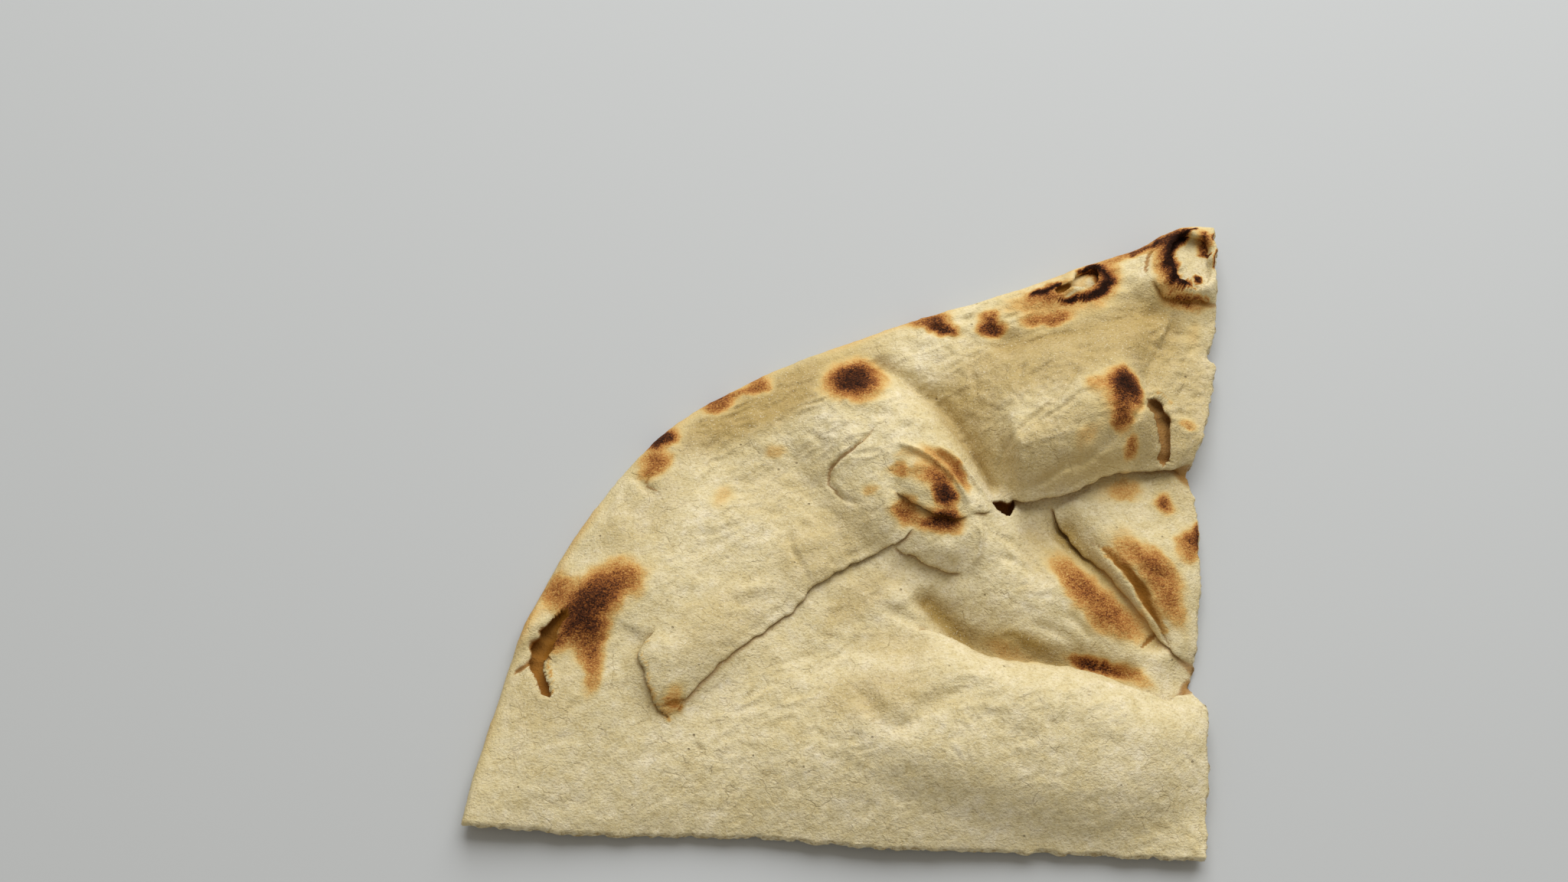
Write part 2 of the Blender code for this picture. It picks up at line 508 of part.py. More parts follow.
def top_surface(spots, sides, outline):
    """The sheet with all its folds pressed in, one after the other."""
    spots, height = spots.copy(), np.zeros(len(spots))
    for gash in GASHES:
        press_gash(spots, height, *gash)
    for burst in BURSTS:
        press_burst(spots, height, outline, *burst)
    for slit in SLITS:
        press_slit(spots, height, outline, *slit)
    for lap in LAPS:
        press_lap(spots, height, outline, *lap)
    return np.column_stack([spots, height + broad_height(spots, sides)[0]])


def underside(spots, sides):
    """Flat on the table in the middle, and one sheet's thickness below the top near the edges."""
    height, from_edge = broad_height(spots, sides)
    return np.clip(height - EDGE - THICKEN * from_edge, 0, None)


def bread_mesh():
    """The whole closed surface: top grid, side wall and underside, as vertices and faces."""
    sides = [curve(side) for side in (RIGHT_CUT, RIM, FRONT_CUT)]
    outline = np.vstack([sides[0][:-1], sides[1][:-1], sides[2]])
    flat, quads, loop = quarter_grid(sides, np.array(CENTRE), CELLS)
    top = top_surface(flat, sides, outline)
    edge = flat[loop]
    along = np.roll(edge, -1, axis=0) - np.roll(edge, 1, axis=0)
    out = np.column_stack([along[:, 1], -along[:, 0]]) / np.linalg.norm(along, axis=1)[:, None]
    upper = top[loop, 2]
    lower = np.clip(upper - EDGE, 0, None)
    rings = [np.column_stack([edge + out * proud, upper + (lower - upper) * share]) for share, proud in WALL]
    for scale in UNDERSIDE_RINGS:
        spots = CENTRE + (edge - out * 0.35 - CENTRE) * scale
        rings.append(np.column_stack([spots, underside(spots, sides)]))
    hub = np.array([[*CENTRE, 0.0]])
    vertices = np.vstack([top] + rings + [hub])
    count, faces = len(loop), [list(q) for q in quads.tolist()]
    numbers = [loop] + [len(top) + i * count + np.arange(count) for i in range(len(rings))]
    for above, below in zip(numbers[:-1], numbers[1:]):
        bands = np.stack([above, below, np.roll(below, -1), np.roll(above, -1)], axis=1)
        faces += bands.tolist()
    last = numbers[-1]
    hubs = np.full(count, len(vertices) - 1)
    faces += np.stack([last, hubs, np.roll(last, -1)], axis=1).tolist()
    return vertices, faces


def build_roti():
    """Make the body, centre it over the origin on the table, and reduce its flat parts."""
    vertices, faces = bread_mesh()
    middle = (vertices.min(axis=0) + vertices.max(axis=0)) / 2
    vertices -= (middle[0], middle[1], vertices[:, 2].min())
    mesh = bpy.data.meshes.new("roti")
    mesh.from_pydata((vertices * MM).tolist(), [], faces)
    body = bmesh.new()
    body.from_mesh(mesh)
    bmesh.ops.triangulate(body, faces=body.faces, quad_method="SHORT_EDGE")
    body.to_mesh(mesh)
    body.free()
    roti = bpy.data.objects.new("roti", mesh)
    bpy.context.scene.collection.objects.link(roti)
    thin = roti.modifiers.new("fewer faces", "DECIMATE")
    thin.ratio = TRIANGLES / len(mesh.polygons)
    crust = bpy.data.materials.new("baked crust")
    crust.use_nodes = True
    shader = crust.node_tree.nodes["Principled BSDF"]
    shader.inputs["Base Color"].default_value = CRUST_COLOUR
    shader.inputs["Roughness"].default_value = CRUST_ROUGHNESS
    shader.inputs["Metallic"].default_value = 0.0
    mesh.materials.append(crust)
    mesh.shade_smooth()
    return roti


for old in list(bpy.data.objects):
    bpy.data.objects.remove(old, do_unlink=True)
build_roti()
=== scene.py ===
"""One quarter of a large tandoori roti, cut by hand, on a pale table.

The bread is shaped as a baker would see it: a flat sheet is cut, steam lifts
it into domes, it folds over itself in laps, tears in slits and burst
blisters, and scorches where it touched the clay. Plan sizes are millimetres
from a point near the middle of the sheet, X to the right, Y towards the
round rim, Z up.
"""
import math

import bpy
import numpy as np
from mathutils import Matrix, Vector


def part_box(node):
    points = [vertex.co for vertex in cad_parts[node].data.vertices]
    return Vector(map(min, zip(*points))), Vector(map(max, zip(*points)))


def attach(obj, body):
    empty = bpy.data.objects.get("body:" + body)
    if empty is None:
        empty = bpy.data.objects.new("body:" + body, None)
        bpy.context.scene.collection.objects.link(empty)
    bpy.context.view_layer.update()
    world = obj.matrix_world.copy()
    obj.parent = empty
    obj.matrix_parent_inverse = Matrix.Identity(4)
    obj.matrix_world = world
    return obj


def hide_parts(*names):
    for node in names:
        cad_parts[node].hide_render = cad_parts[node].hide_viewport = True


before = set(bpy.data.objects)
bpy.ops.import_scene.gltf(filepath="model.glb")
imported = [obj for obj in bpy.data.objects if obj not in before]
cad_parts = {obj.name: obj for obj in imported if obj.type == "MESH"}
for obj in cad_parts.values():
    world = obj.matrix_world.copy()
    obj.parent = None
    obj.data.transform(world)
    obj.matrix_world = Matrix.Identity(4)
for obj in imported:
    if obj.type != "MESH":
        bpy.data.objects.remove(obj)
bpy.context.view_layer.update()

MM = 0.001


# ---------------------------------------------------------------------------
# The table: a pale matt top, wide enough to fill every view. It is only a
# floor for the bread to lie on, one sheet that carries nothing else.

TABLE_SIZE = 6.0
TABLE_TOP = -0.0001  # a hair below the bread, so that the two faces don't coincide
TABLE_COLOUR = (0.50, 0.515, 0.52, 1.0)
TABLE_ROUGHNESS = 0.6

table_mesh = bpy.data.meshes.new("table_top")
half = TABLE_SIZE / 2
table_corners = [(-half, -half), (half, -half), (half, half), (-half, half)]
table_mesh.from_pydata([(x, y, TABLE_TOP) for x, y in table_corners], [], [(0, 1, 2, 3)])
table = bpy.data.objects.new("table_top", table_mesh)
bpy.context.scene.collection.objects.link(table)
laminate = bpy.data.materials.new("pale laminate")
laminate.use_nodes = True
laminate_shader = laminate.node_tree.nodes["Principled BSDF"]
laminate_shader.inputs["Base Color"].default_value = TABLE_COLOUR
laminate_shader.inputs["Roughness"].default_value = TABLE_ROUGHNESS
table_mesh.materials.append(laminate)


# ---------------------------------------------------------------------------
# Light and camera: one broad soft window, high up behind the bread, and a
# bright warm room. The camera looks down at 70 degrees.

WINDOW_PLACE = (0.17, 0.76, 0.77)
WINDOW_SIZE = 1.1
WINDOW_WATTS = 15.2
WINDOW_COLOUR = (0.98, 0.99, 1.0)
ROOM_COLOUR = (1.0, 0.94, 0.84, 1.0)
ROOM_STRENGTH = 0.33
CAMERA_TILT = 70.0
CAMERA_PLACE = (-0.01397, -0.12886, 0.4073)
LENS = 50.0
SENSOR = 36.0

light = bpy.data.lights.new("window", "AREA")
light.size = WINDOW_SIZE
light.energy = WINDOW_WATTS
light.color = WINDOW_COLOUR
window = bpy.data.objects.new("window", light)
window.location = WINDOW_PLACE
window.rotation_euler = (-Vector(WINDOW_PLACE)).to_track_quat("-Z", "Y").to_euler()
bpy.context.scene.collection.objects.link(window)
room = bpy.data.worlds.new("room")
room.use_nodes = True
room.node_tree.nodes["Background"].inputs["Color"].default_value = ROOM_COLOUR
room.node_tree.nodes["Background"].inputs["Strength"].default_value = ROOM_STRENGTH
bpy.context.scene.world = room
bpy.context.scene.view_settings.view_transform = "Standard"

camera_data = bpy.data.cameras.new("camera")
camera_data.lens = LENS
camera_data.sensor_width = SENSOR
camera = bpy.data.objects.new("camera", camera_data)
camera.location = CAMERA_PLACE
camera.rotation_euler = (math.radians(90 - CAMERA_TILT), 0, 0)
bpy.context.scene.collection.objects.link(camera)
bpy.context.scene.camera = camera


# ---------------------------------------------------------------------------
# The sheet: dough rolled and baked as one big round, then cut in four. Its
# outline is the round rim and two rough cuts, which step in at each fold.

CELLS = 164  # grid cells along half of each side
SPACING = 0.5  # between the points that a curve is read at
CUBIC_STEPS = 12  # points worked out on each stretch of a curve before that
TIP = (65.6, -63.6)
TOP_CORNER = (75.4, 64.0)
LEFT_CORNER = (-71.8, -57.2)
CENTRE = np.array([14.0, -6.0])
RIGHT_CUT = [
    TIP, (66.6, -50), (67.4, -37.2), (66, -33.8), (64.6, -31), (65.9, -27),
    (67.2, -17), (68.5, -2), (67.5, 8.5), (66.4, 11.3), (68.8, 15.4), (71.4, 23.8),
    (73.7, 33.6), (72.4, 36), (73.9, 40), (74.9, 52), TOP_CORNER,
]
ROUND_RIM = [
    TOP_CORNER, (71, 64.2), (65.5, 62.7), (60.6, 59.9), (54.3, 57.8), (46.4, 55.3),
    (30.6, 49.7), (11.9, 43.7), (-8.2, 36.3), (-23.4, 28.6), (-35.9, 20), (-47.2, 6.9),
    (-55.7, -6.4), (-62.5, -21.7), (-66.6, -35.8), (-69.9, -48), LEFT_CORNER,
]
FRONT_CUT = [LEFT_CORNER, (-50, -58.8), (-20, -59.4), (10, -61.6), (40, -62.4), TIP]
RAGGED = 0.36  # how far a cut wanders as the knife drags
FRONT_RAGGED = 0.8 * RAGGED
RIM_RAGGED = 0.08
DRAG_LENGTHS = (2.6, 1.1)  # of its larger and its smaller wanderings
SMALLER_DRAG = 0.6  # strength of the smaller ones
CORNER_HOLD = 3.0  # length over which they die away at a corner
LATTICE = 64  # heights on each side of a lattice, after which it repeats


def travel_along(path):
    """Distance travelled along the path up to each of its points."""
    return np.r_[0, np.cumsum(np.linalg.norm(np.diff(path, axis=0), axis=1))]


def read_at(path, distances):
    """The path's places at the distances travelled, in straight lines between its points."""
    return np.column_stack([np.interp(distances, travel_along(path), column) for column in path.T])


def curve(points, spacing=SPACING):
    """Catmull-Rom curve, read evenly: a cubic through each two points, shaped by those on either side."""
    knots = np.array(points, float)
    knots = np.vstack([2 * knots[0] - knots[1], knots, 2 * knots[-1] - knots[-2]])
    t = np.linspace(0, 1, CUBIC_STEPS, endpoint=False)[:, None]
    runs = []
    for a, b, c, d in zip(knots[:-3], knots[1:-2], knots[2:-1], knots[3:]):
        bend, twist = 2 * a - 5 * b + 4 * c - d, 3 * b - a - 3 * c + d
        runs.append((2 * b + (c - a) * t + bend * t**2 + twist * t**3) / 2)
    dense = np.vstack(runs + [knots[-2][None]])
    length = travel_along(dense)[-1]
    return read_at(dense, np.linspace(0, length, max(5, int(length / spacing))))


def length_of(path):
    """Sum of the lengths of the path's straight pieces."""
    return np.linalg.norm(np.diff(path, axis=0), axis=1).sum()


def from_path(places, path):
    """Distance to the path's nearest piece, positive on its left, the share along it and the normal."""
    runs = np.diff(path, axis=0)
    lengths = np.linalg.norm(runs, axis=1)
    lefts = np.column_stack([-runs[:, 1], runs[:, 0]]) / lengths[:, None]
    corner_lefts = np.vstack([lefts[:1], lefts[:-1] + lefts[1:], lefts[-1:]])
    corner_lefts /= np.linalg.norm(corner_lefts, axis=1)[:, None]
    travel = np.r_[0, np.cumsum(lengths)]
    nearest = np.full(len(places), np.inf)
    signed, share, normal = np.zeros(len(places)), np.zeros(len(places)), np.zeros((len(places), 2))
    for i, run in enumerate(runs):
        offset = places - path[i]
        t = np.clip(offset @ run / lengths[i] ** 2, 0, 1)
        away = offset - t[:, None] * run
        distance = np.hypot(away[:, 0], away[:, 1])
        closer = np.flatnonzero(distance < nearest)
        nearest[closer] = distance[closer]
        blended = (1 - t[closer, None]) * corner_lefts[i] + t[closer, None] * corner_lefts[i + 1]
        normal[closer] = blended
        signed[closer] = np.sign((away[closer] * blended).sum(1)) * distance[closer]
        share[closer] = (travel[i] + t[closer] * lengths[i]) / travel[-1]
    return signed, share, normal


def ease(x):
    """Smooth step: 3x squared less 2x cubed, held at 0 and 1 outside."""
    x = np.clip(x, 0, 1)
    return x * x * (3 - 2 * x)


def between_ends(travelled, length, end):
    """Eased from none to all over the end length, at both ends of a line."""
    return ease(travelled / end) * ease((length - travelled) / end)


def swell(places, spacing, seed):
    """Smooth unevenness between -1 and 1: random heights on a lattice, blended with eased steps."""
    heights = np.random.default_rng(seed).uniform(-1, 1, (LATTICE, LATTICE))
    cell = np.floor(places / spacing).astype(int)
    x, y = ease(places / spacing - cell).T
    i, j = cell.T % LATTICE
    k, m = (i + 1) % LATTICE, (j + 1) % LATTICE
    near = heights[i, j] * (1 - x) + heights[k, j] * x
    far = heights[i, m] * (1 - x) + heights[k, m] * x
    return near * (1 - y) + far * y


def swell_along(travelled, spacing, seed):
    """The same unevenness, read along a line."""
    return swell(np.column_stack([travelled, 0 * travelled]), spacing, seed)


def read_side(side, start, end):
    """Evenly spaced spots between two shares of a side's length, one more than the cells."""
    return read_at(side, np.linspace(start, end, CELLS + 1) * travel_along(side)[-1])


def patch(near, left, right, far):
    """Coons patch: the blend of two opposite edges plus that of the others, less that of the corners."""
    u = np.linspace(0, 1, len(near))[:, None, None]
    v = np.linspace(0, 1, len(left))[None, :, None]
    across = (1 - v) * near[:, None] + v * far[:, None]
    along = (1 - u) * left[None] + u * right[None]
    corners = (1 - v) * ((1 - u) * near[0] + u * near[-1]) + v * ((1 - u) * far[0] + u * far[-1])
    return across + along - corners


def quarter_grid(sides):
    """Three grids, one at each corner, that meet at the centre and share the numbers of their seams."""
    own = np.arange(CELLS * (CELLS + 1)).reshape(CELLS + 1, CELLS)
    size = 3 * own.size
    places = np.zeros((size + 1, 2))
    places[size] = CENTRE
    quads, loop = [], []
    for k in range(3):
        near = read_side(sides[k], 0, 0.5)
        left = read_side(sides[k - 1], 1, 0.5)
        right = np.linspace(near[-1], CENTRE, CELLS + 1)
        far = np.linspace(left[-1], CENTRE, CELLS + 1)
        number = np.full((CELLS + 1, CELLS + 1), size)
        number[:, :CELLS] = k * own.size + own
        number[:CELLS, CELLS] = (k - 1) % 3 * own.size + own[CELLS]
        places[number[:, :CELLS]] = patch(near, left, right, far)[:, :CELLS]
        corners = [number[:-1, :-1], number[1:, :-1], number[1:, 1:], number[:-1, 1:]]
        quads.append(np.stack([c.ravel() for c in corners], axis=1))
        loop += [number[0, :0:-1], number[:-1, 0]]
    return places, np.vstack(quads), np.concatenate(loop)


def knife_drag(side, amount, seed):
    """Shift the side's inner points along the normal by lattice noise of two sizes, none at its ends."""
    travelled = np.arange(len(side)) * SPACING
    along = np.gradient(side, axis=0)
    along /= np.linalg.norm(along, axis=1)[:, None]
    larger, smaller = [swell_along(travelled, length, seed + i) for i, length in enumerate(DRAG_LENGTHS)]
    wander = larger + SMALLER_DRAG * smaller
    shift = amount * wander * between_ends(travelled, travelled[-1], CORNER_HOLD)
    return side + np.column_stack([-along[:, 1], along[:, 0]]) * shift[:, None]


right_side = knife_drag(curve(RIGHT_CUT), RAGGED, 31)
rim_side = knife_drag(curve(ROUND_RIM), RIM_RAGGED, 33)
front_side = knife_drag(curve(FRONT_CUT), FRONT_RAGGED, 35)
sides = [right_side, rim_side, front_side]
side_lines = [np.vstack([side[:-2:4], side[-1:]]) for side in sides]  # thinned, to measure from
outline = np.vstack([line[:-1] for line in side_lines] + [side_lines[2][-1:]])
flat, quads, loop = quarter_grid(sides)

spots = flat.copy()  # where each point of the sheet goes, in plan
height = np.zeros(len(flat))  # and the height that folds and tears give it
inside = np.zeros(len(flat))  # 1 where it lies inside a fold or a tear, browned there: partly the toasted inner dough, partly painted shade
shaded = np.zeros(len(flat))  # 1 along a crevice before a lip, where a warm golden shade is painted in


# ---------------------------------------------------------------------------
# Folds and tears: while it bakes and is stacked, the sheet buckles. It laps
# over itself, slits open along stretched ridges, and thin blisters burst.
# Each is a cross-section carried along a path or round a blister: for every
# distance s in the flat sheet it says where that point goes, a across, z up.

LAPS = [
    # path, reach, drop below, rise above, shoulder, lap, under, strengths along it
    # the long lap across the middle, upper layer at the back left
    ([(-33, -38.2), (-30, -33.8), (-25.8, -29.6), (-22, -25.6), (-15.6, -21),
      (-10.7, -17.1), (-7.3, -12.8), (-3.2, -9.6), (3.1, -6.4), (7.9, -4.2), (10.7, -3), (13.6, -1.7)],
     5, 0.6, 1.8, 0.9, 0.7, 1.3, (0.35, 0.45, 0.5, 0.65, 1, 1, 0.5)),
    # the left side of the long lap's tongue
    ([(-36.4, -21.4), (-37.3, -23.8), (-39.2, -26), (-38.7, -27.6), (-37.7, -29.3), (-37.8, -30.8),
      (-36.9, -33.1), (-36.3, -34.7), (-35.6, -35.8), (-34.4, -37.3), (-33.1, -38.9)],
     2.6, 0.7, 0.9, 0.3, 0.5, 0.9, (0.7, 1, 0.8, 1, 0.6)),
    # the mouth in the middle dome
    ([(8, 5.3), (11.7, 4.1), (13.6, 2.9), (15.4, 1.7), (18, 0.7), (21.3, 0.1), (24, 0.1)],
     3, 1.1, 1.5, 0.5, 0.7, 1, (0.4, 0.9, 1, 1, 0.9, 0.4)),
    # the point of skin at the right of that mouth
    ([(23.4, 0.6), (25.6, 1.2), (28, 2)], 1.8, 0.8, 0.7, 0.2, 0.4, 0.7, (0.5, 1, 1)),
    # the lobe below that mouth
    ([(8.2, -4.6), (10.7, -5.4), (13.6, -6.7), (16.5, -8.1), (19.4, -9.3), (22.6, -10.4)],
     2.6, 0.9, 1.2, 0.3, 0.6, 0.9, (0.6, 1, 1, 1, 0.6)),
    # the big dome over the right flap, out to the cut
    ([(31, 4.4), (35, 5), (39.3, 6.1), (42, 6.7), (46.1, 8.1), (49.5, 9.7), (54.3, 10.9),
      (58.5, 11.4), (63.7, 11.8), (74, 11.6)],
     6, 1.7, 3.8, 2.1, 1.2, 1.8, (1, 1, 1, 0.8, 0.5)),
    # the right flap over the middle layer
    ([(39.2, 4.4), (41.7, 0.6), (44.4, -2.9), (47.4, -6.6), (50.6, -10.4), (54.2, -14.9),
      (57.8, -19.5), (61.2, -24), (72, -30.5)],
     3.4, 1, 1.4, 0.4, 0.5, 1, (1, 1, 0.5, 0.3, 0.3, 0.5, 0.8)),
    # the front layer over the valley behind it
    ([(76, -27), (65, -31.4), (60.5, -34.6), (55.8, -33.4), (52, -31.7), (45.5, -29.5),
      (38.6, -28.3), (30.8, -27.6), (26.2, -26.3), (21.3, -24), (17.4, -22.1), (12.5, -20.6)],
     4, 1.2, 1.9, 0.3, 0.9, 1.4, (0.9, 0.9, 0.7, 1, 1, 1, 0.6)),
    # the lower lip of the burst blister at the corner
    ([(61.4, 52), (63.3, 48.6), (66.9, 46.9), (76, 47.2)], 2.2, 0.6, 0.8, 0.2, 0.4, 0.6, (0.3, 1, 1, 0.9)),
]
LAP_SKIN = 1.3  # thickness of an upper layer's lip
LAP_END = 3.5  # length over which a lap closes at its ends
LAP_FADE = 1.6  # how gently its height dies away on both sides, in reaches
LAP_FAR = 4  # where nothing of it is left, in reaches
LAP_SHADE = 0.7  # how brown it is inside a lap: painted shade
CREVICE_SHADE = 0.7  # how strong the painted golden shade is in the crevice before a lip
CREVICE_SHADE_WIDTH = 1.4
FREE_FROM_EDGE = 4.0  # distance from the outline at which the sheet can fold freely
RAGGED_LIP = 0.32  # how far a lip wanders from its path
RAGGED_LENGTH = 1.7

SLITS = [
    # path, reach, half gap, depth, undercut, how dark it is inside (brown inner dough and painted shade),
    # share of the gap along it
    # beside the scorched blister at the left
    ([(-53.2, -16.8), (-54.9, -18.8), (-56.6, -21.6), (-57.9, -24), (-59.1, -26.4), (-58.6, -28.9),
      (-57.4, -31.6), (-55.4, -34.6)], 4.4, 1.6, 2.6, 0.7, 1, (0.4, 0.7, 0.95, 0.9, 0.8, 0.6, 0.45, 0.15)),
    # at the right of the big dome
    ([(58.4, 23.8), (60, 22.6), (61.2, 20.6), (61.6, 18.4), (61.6, 16.2), (61.6, 13.9)],
     3.4, 1.6, 2, 0.6, 0.7, (1.1, 1.3, 1, 0.7, 0.65, 0.9)),
]
SLIT_END = 1.5  # length over which a slit narrows at its ends
NARROWEST = 0.02  # share of the gap that is left where a slit has closed
TORN = 0.3  # how much a slit's width changes along it
TORN_LENGTH = 1.2

GASHES = [
    # narrow tears in the skin: path, half widths along it, depth, how dark it is inside (brown inner dough
    # and painted shade)
    # in the ridge of the right flap
    ([(47.8, -2.8), (50.6, -5.6), (53.6, -9.2), (56.2, -12.6), (58.3, -16.2), (60.1, -19.2), (62.4, -24)],
     (0.25, 0.35, 0.55, 0.85, 0.65, 0.3, 0.25), 1.2, 0.9),
    # where its lower end has flaked
    ([(56.1, -23.6), (57.2, -22.2), (58.1, -21.2)], (0.35, 0.6, 0.4), 0.7, 0.8),
    # the torn end of the blister at the left
    ([(-59.9, -26.6), (-61.4, -27), (-62.6, -28.4)], (0.5, 0.45, 0.7), 0.8, 0.8),
    # along the tongue's lower lip
    ([(-35, -35.4), (-33, -34.6), (-31, -34.4), (-28.8, -34.6)], (0.4, 0.7, 0.6, 0.3), 0.4, 0.6),
    # a crack in the rim by the corner, and one in the rim at the left
    ([(62.5, 58), (61.3, 56.4), (61, 54.4), (60.3, 52.6)], (0.3, 0.5, 0.5, 0.3), 0.6, 0.7),
    ([(-39.6, 11.4), (-38.6, 9.8), (-38.8, 8.4), (-36.8, 6.6)], (0.3, 0.5, 0.5, 0.3), 0.5, 0.5),
    # round the blister left of the middle dome
    ([(5.6, 18), (3.2, 15.6), (0.5, 13.2), (-2.6, 11), (-3.4, 8.4), (-2.4, 6.4), (-0.2, 4.1)],
     (0.25, 0.3, 0.45, 0.4, 0.5, 0.4, 0.25), 0.5, 0.45),
]
GASH_RAGGED = 0.2  # how far a gash's edges wander
GASH_LENGTH = 1.1
GASH_SHADE = 1.6  # how soon its painted shade darkens on the way down

BURSTS = [
    # middle, half length, half width, angle, depth, lip, how dark it is inside (brown inner dough and
    # painted shade)
    ((69.9, 55.1), 6.4, 4, 88, 2, 0.9, 0),
    ((49, 51.8), 2.7, 2, 60, 2.4, 0.6, 0.25),
    ((43.9, 49.7), 1.3, 0.8, 15, 1.4, 0.1, 1),
    ((30.6, 2.9), 2.5, 1.25, -28, 4.6, 0, 1),
]
BURST_REACH = 3.0
BURST_FLOOR = 0.9  # how far in the section runs, in half widths
BURST_UNDERCUT = 0.7
BURST_RAGGED = 0.16  # how far a burst's edge wanders, as a share of its radius
BURST_LENGTH = 1.2
BURST_RING = 3.0  # radius of the ring that its wandering is read on, so that it closes
RING_MIDDLE = 10.0


def section(nodes, focus, weight=2.2):
    """Round curve through the nodes (a, z, inside), shared out over s, with more of s where a is near 0."""
    dense = curve(nodes, spacing=0.05)
    middle = (dense[1:] + dense[:-1]) / 2
    dear = np.where(np.abs(middle[:, 0]) < focus, weight, 1.0)
    travel = np.r_[0, np.cumsum(np.linalg.norm(np.diff(dense[:, :2], axis=0), axis=1) * dear)]
    s = dense[0, 0] + travel / travel[-1] * (dense[-1, 0] - dense[0, 0])
    return s, dense[:, 0], dense[:, 1], np.clip(dense[:, 2], 0, 1)


def around(route, reach):
    """Numbers of the spots in the route's box, widened by the reach."""
    low, high = route.min(axis=0) - reach, route.max(axis=0) + reach
    return np.flatnonzero(((spots > low) & (spots < high)).all(axis=1))


def hold(near):
    """Share of a sideways shift that is allowed: eased from none on the outline, which keeps its form."""
    return ease(np.abs(from_path(spots[near], outline)[0]) / FREE_FROM_EDGE)


def ragged(places, route, seed):
    """Distance to the route, shifted by noise along it, with the length travelled and the normal."""
    signed, share, left = from_path(places, route)
    travelled = share * length_of(route)
    return signed + RAGGED_LIP * swell_along(travelled, RAGGED_LENGTH, seed), travelled, left


def read_along(share, values):
    """The values, spread evenly over a path, read at a share of its length."""
    return np.interp(share, np.linspace(0, 1, len(values)), values)


def strength_along(travelled, length, strengths, end=LAP_END):
    """The strengths, read at the distance travelled and eased to none at both ends."""
    return between_ends(travelled, length, end) * read_along(travelled / length, strengths)


def turned(places, middle, angle):
    """Places seen from the middle, along and across an axis at the angle in degrees."""
    cos, sin = math.cos(math.radians(angle)), math.sin(math.radians(angle))
    x, y = (places - middle).T
    return x * cos + y * sin, y * cos - x * sin


def press_lap(path, reach, drop, rise, shoulder, lap, under, strengths):
    """The lower layer runs under, turns back and comes out as the upper lip, which climbs to a shoulder."""
    low, lip = -drop, rise - shoulder
    skin = min(LAP_SKIN, 0.7 * (lip - low))
    s, a, z, dark = section(
        [(-reach, low, 0), (-lap - 0.8, low, 0), (0.5 * under, low, 1), (under, low + 0.1, 1),
         (0.5 * under, low + 0.3, 1), (0.6 - lap, lip - skin, 0.8), (-lap, lip - 0.5 * skin, 0.1),
         (0.4 - lap, lip - 0.1, 0), (1.5 - lap, lip + 0.25 * shoulder, 0),
         (0.45 * reach, lip + 0.78 * shoulder, 0), (reach, rise, 0)],
        focus=lap + 1.6)
    route = curve(path)
    near = around(route, LAP_FAR * reach)
    signed, travelled, left = ragged(spots[near], route, int(100 + 10 * reach))
    strength = strength_along(travelled, length_of(route), strengths)
    beyond = np.clip(np.abs(signed) - reach, 0, None)
    shift = (np.interp(signed, s, a) - signed) * (beyond == 0) * np.sqrt(strength) * hold(near)
    height[near] += np.interp(signed, s, z) * np.exp(-(beyond / (LAP_FADE * reach)) ** 2) * strength
    shade = LAP_SHADE * np.interp(signed, s, dark) * (beyond == 0) * np.sqrt(strength)
    inside[near] = np.maximum(inside[near], shade)
    # painted shade: the lower layer just before the lip is tinted golden, as in the lip's shadow
    crevice_shade = np.exp(-((signed + lap) / CREVICE_SHADE_WIDTH) ** 2) * strength
    shaded[near] = np.maximum(shaded[near], CREVICE_SHADE * crevice_shade)
    spots[near] += left * shift[:, None]


def press_slit(path, reach, gap, depth, under, darkness, strengths):
    """A floor, an undercut wall on each side and two lips; all of it shrinks where the slit is narrow."""
    side = [(gap + under, -depth, 1), (gap + under, -0.6 * depth, 1), (gap, -0.4, 0.9),
            (gap + 0.2, 0.15, 0.1), (gap + 1.2, 0.3, 0), (reach, 0, 0)]
    other_side = [(-a, z, dark) for a, z, dark in side[::-1]]
    s, a, z, dark = section(other_side + [(0, -depth, 1)] + side, focus=gap + under + 0.3)
    route = curve(path)
    near = around(route, reach)
    signed, travelled, left = ragged(spots[near], route, int(200 + 10 * depth))
    torn = 1 + TORN * swell_along(travelled, TORN_LENGTH, int(220 + 10 * depth))
    strength = strength_along(travelled, length_of(route), strengths, SLIT_END)
    narrow = np.clip(torn * strength, NARROWEST, None)
    scaled = signed / narrow
    within = np.abs(scaled) < reach
    shift = (narrow * np.interp(scaled, s, a) - signed) * within * hold(near)
    height[near] += np.interp(scaled, s, z) * within * np.sqrt(narrow)
    inside[near] = np.maximum(inside[near], darkness * np.interp(scaled, s, dark) * within)
    spots[near] += left * shift[:, None]


def press_gash(path, half_widths, depth, darkness):
    """A round-bottomed groove, 1 less the distance squared, shallower where its half width is less."""
    signed, share, _ = from_path(spots, curve(path))
    half_width = read_along(share, half_widths)
    reach = np.abs(signed + GASH_RAGGED * swell(spots, GASH_LENGTH, 210)) / half_width
    sunk = np.clip(1 - reach**2, 0, 1) * half_width / max(half_widths)
    height[:] -= depth * sunk
    inside[:] = np.maximum(inside, darkness * ease(GASH_SHADE * sunk))


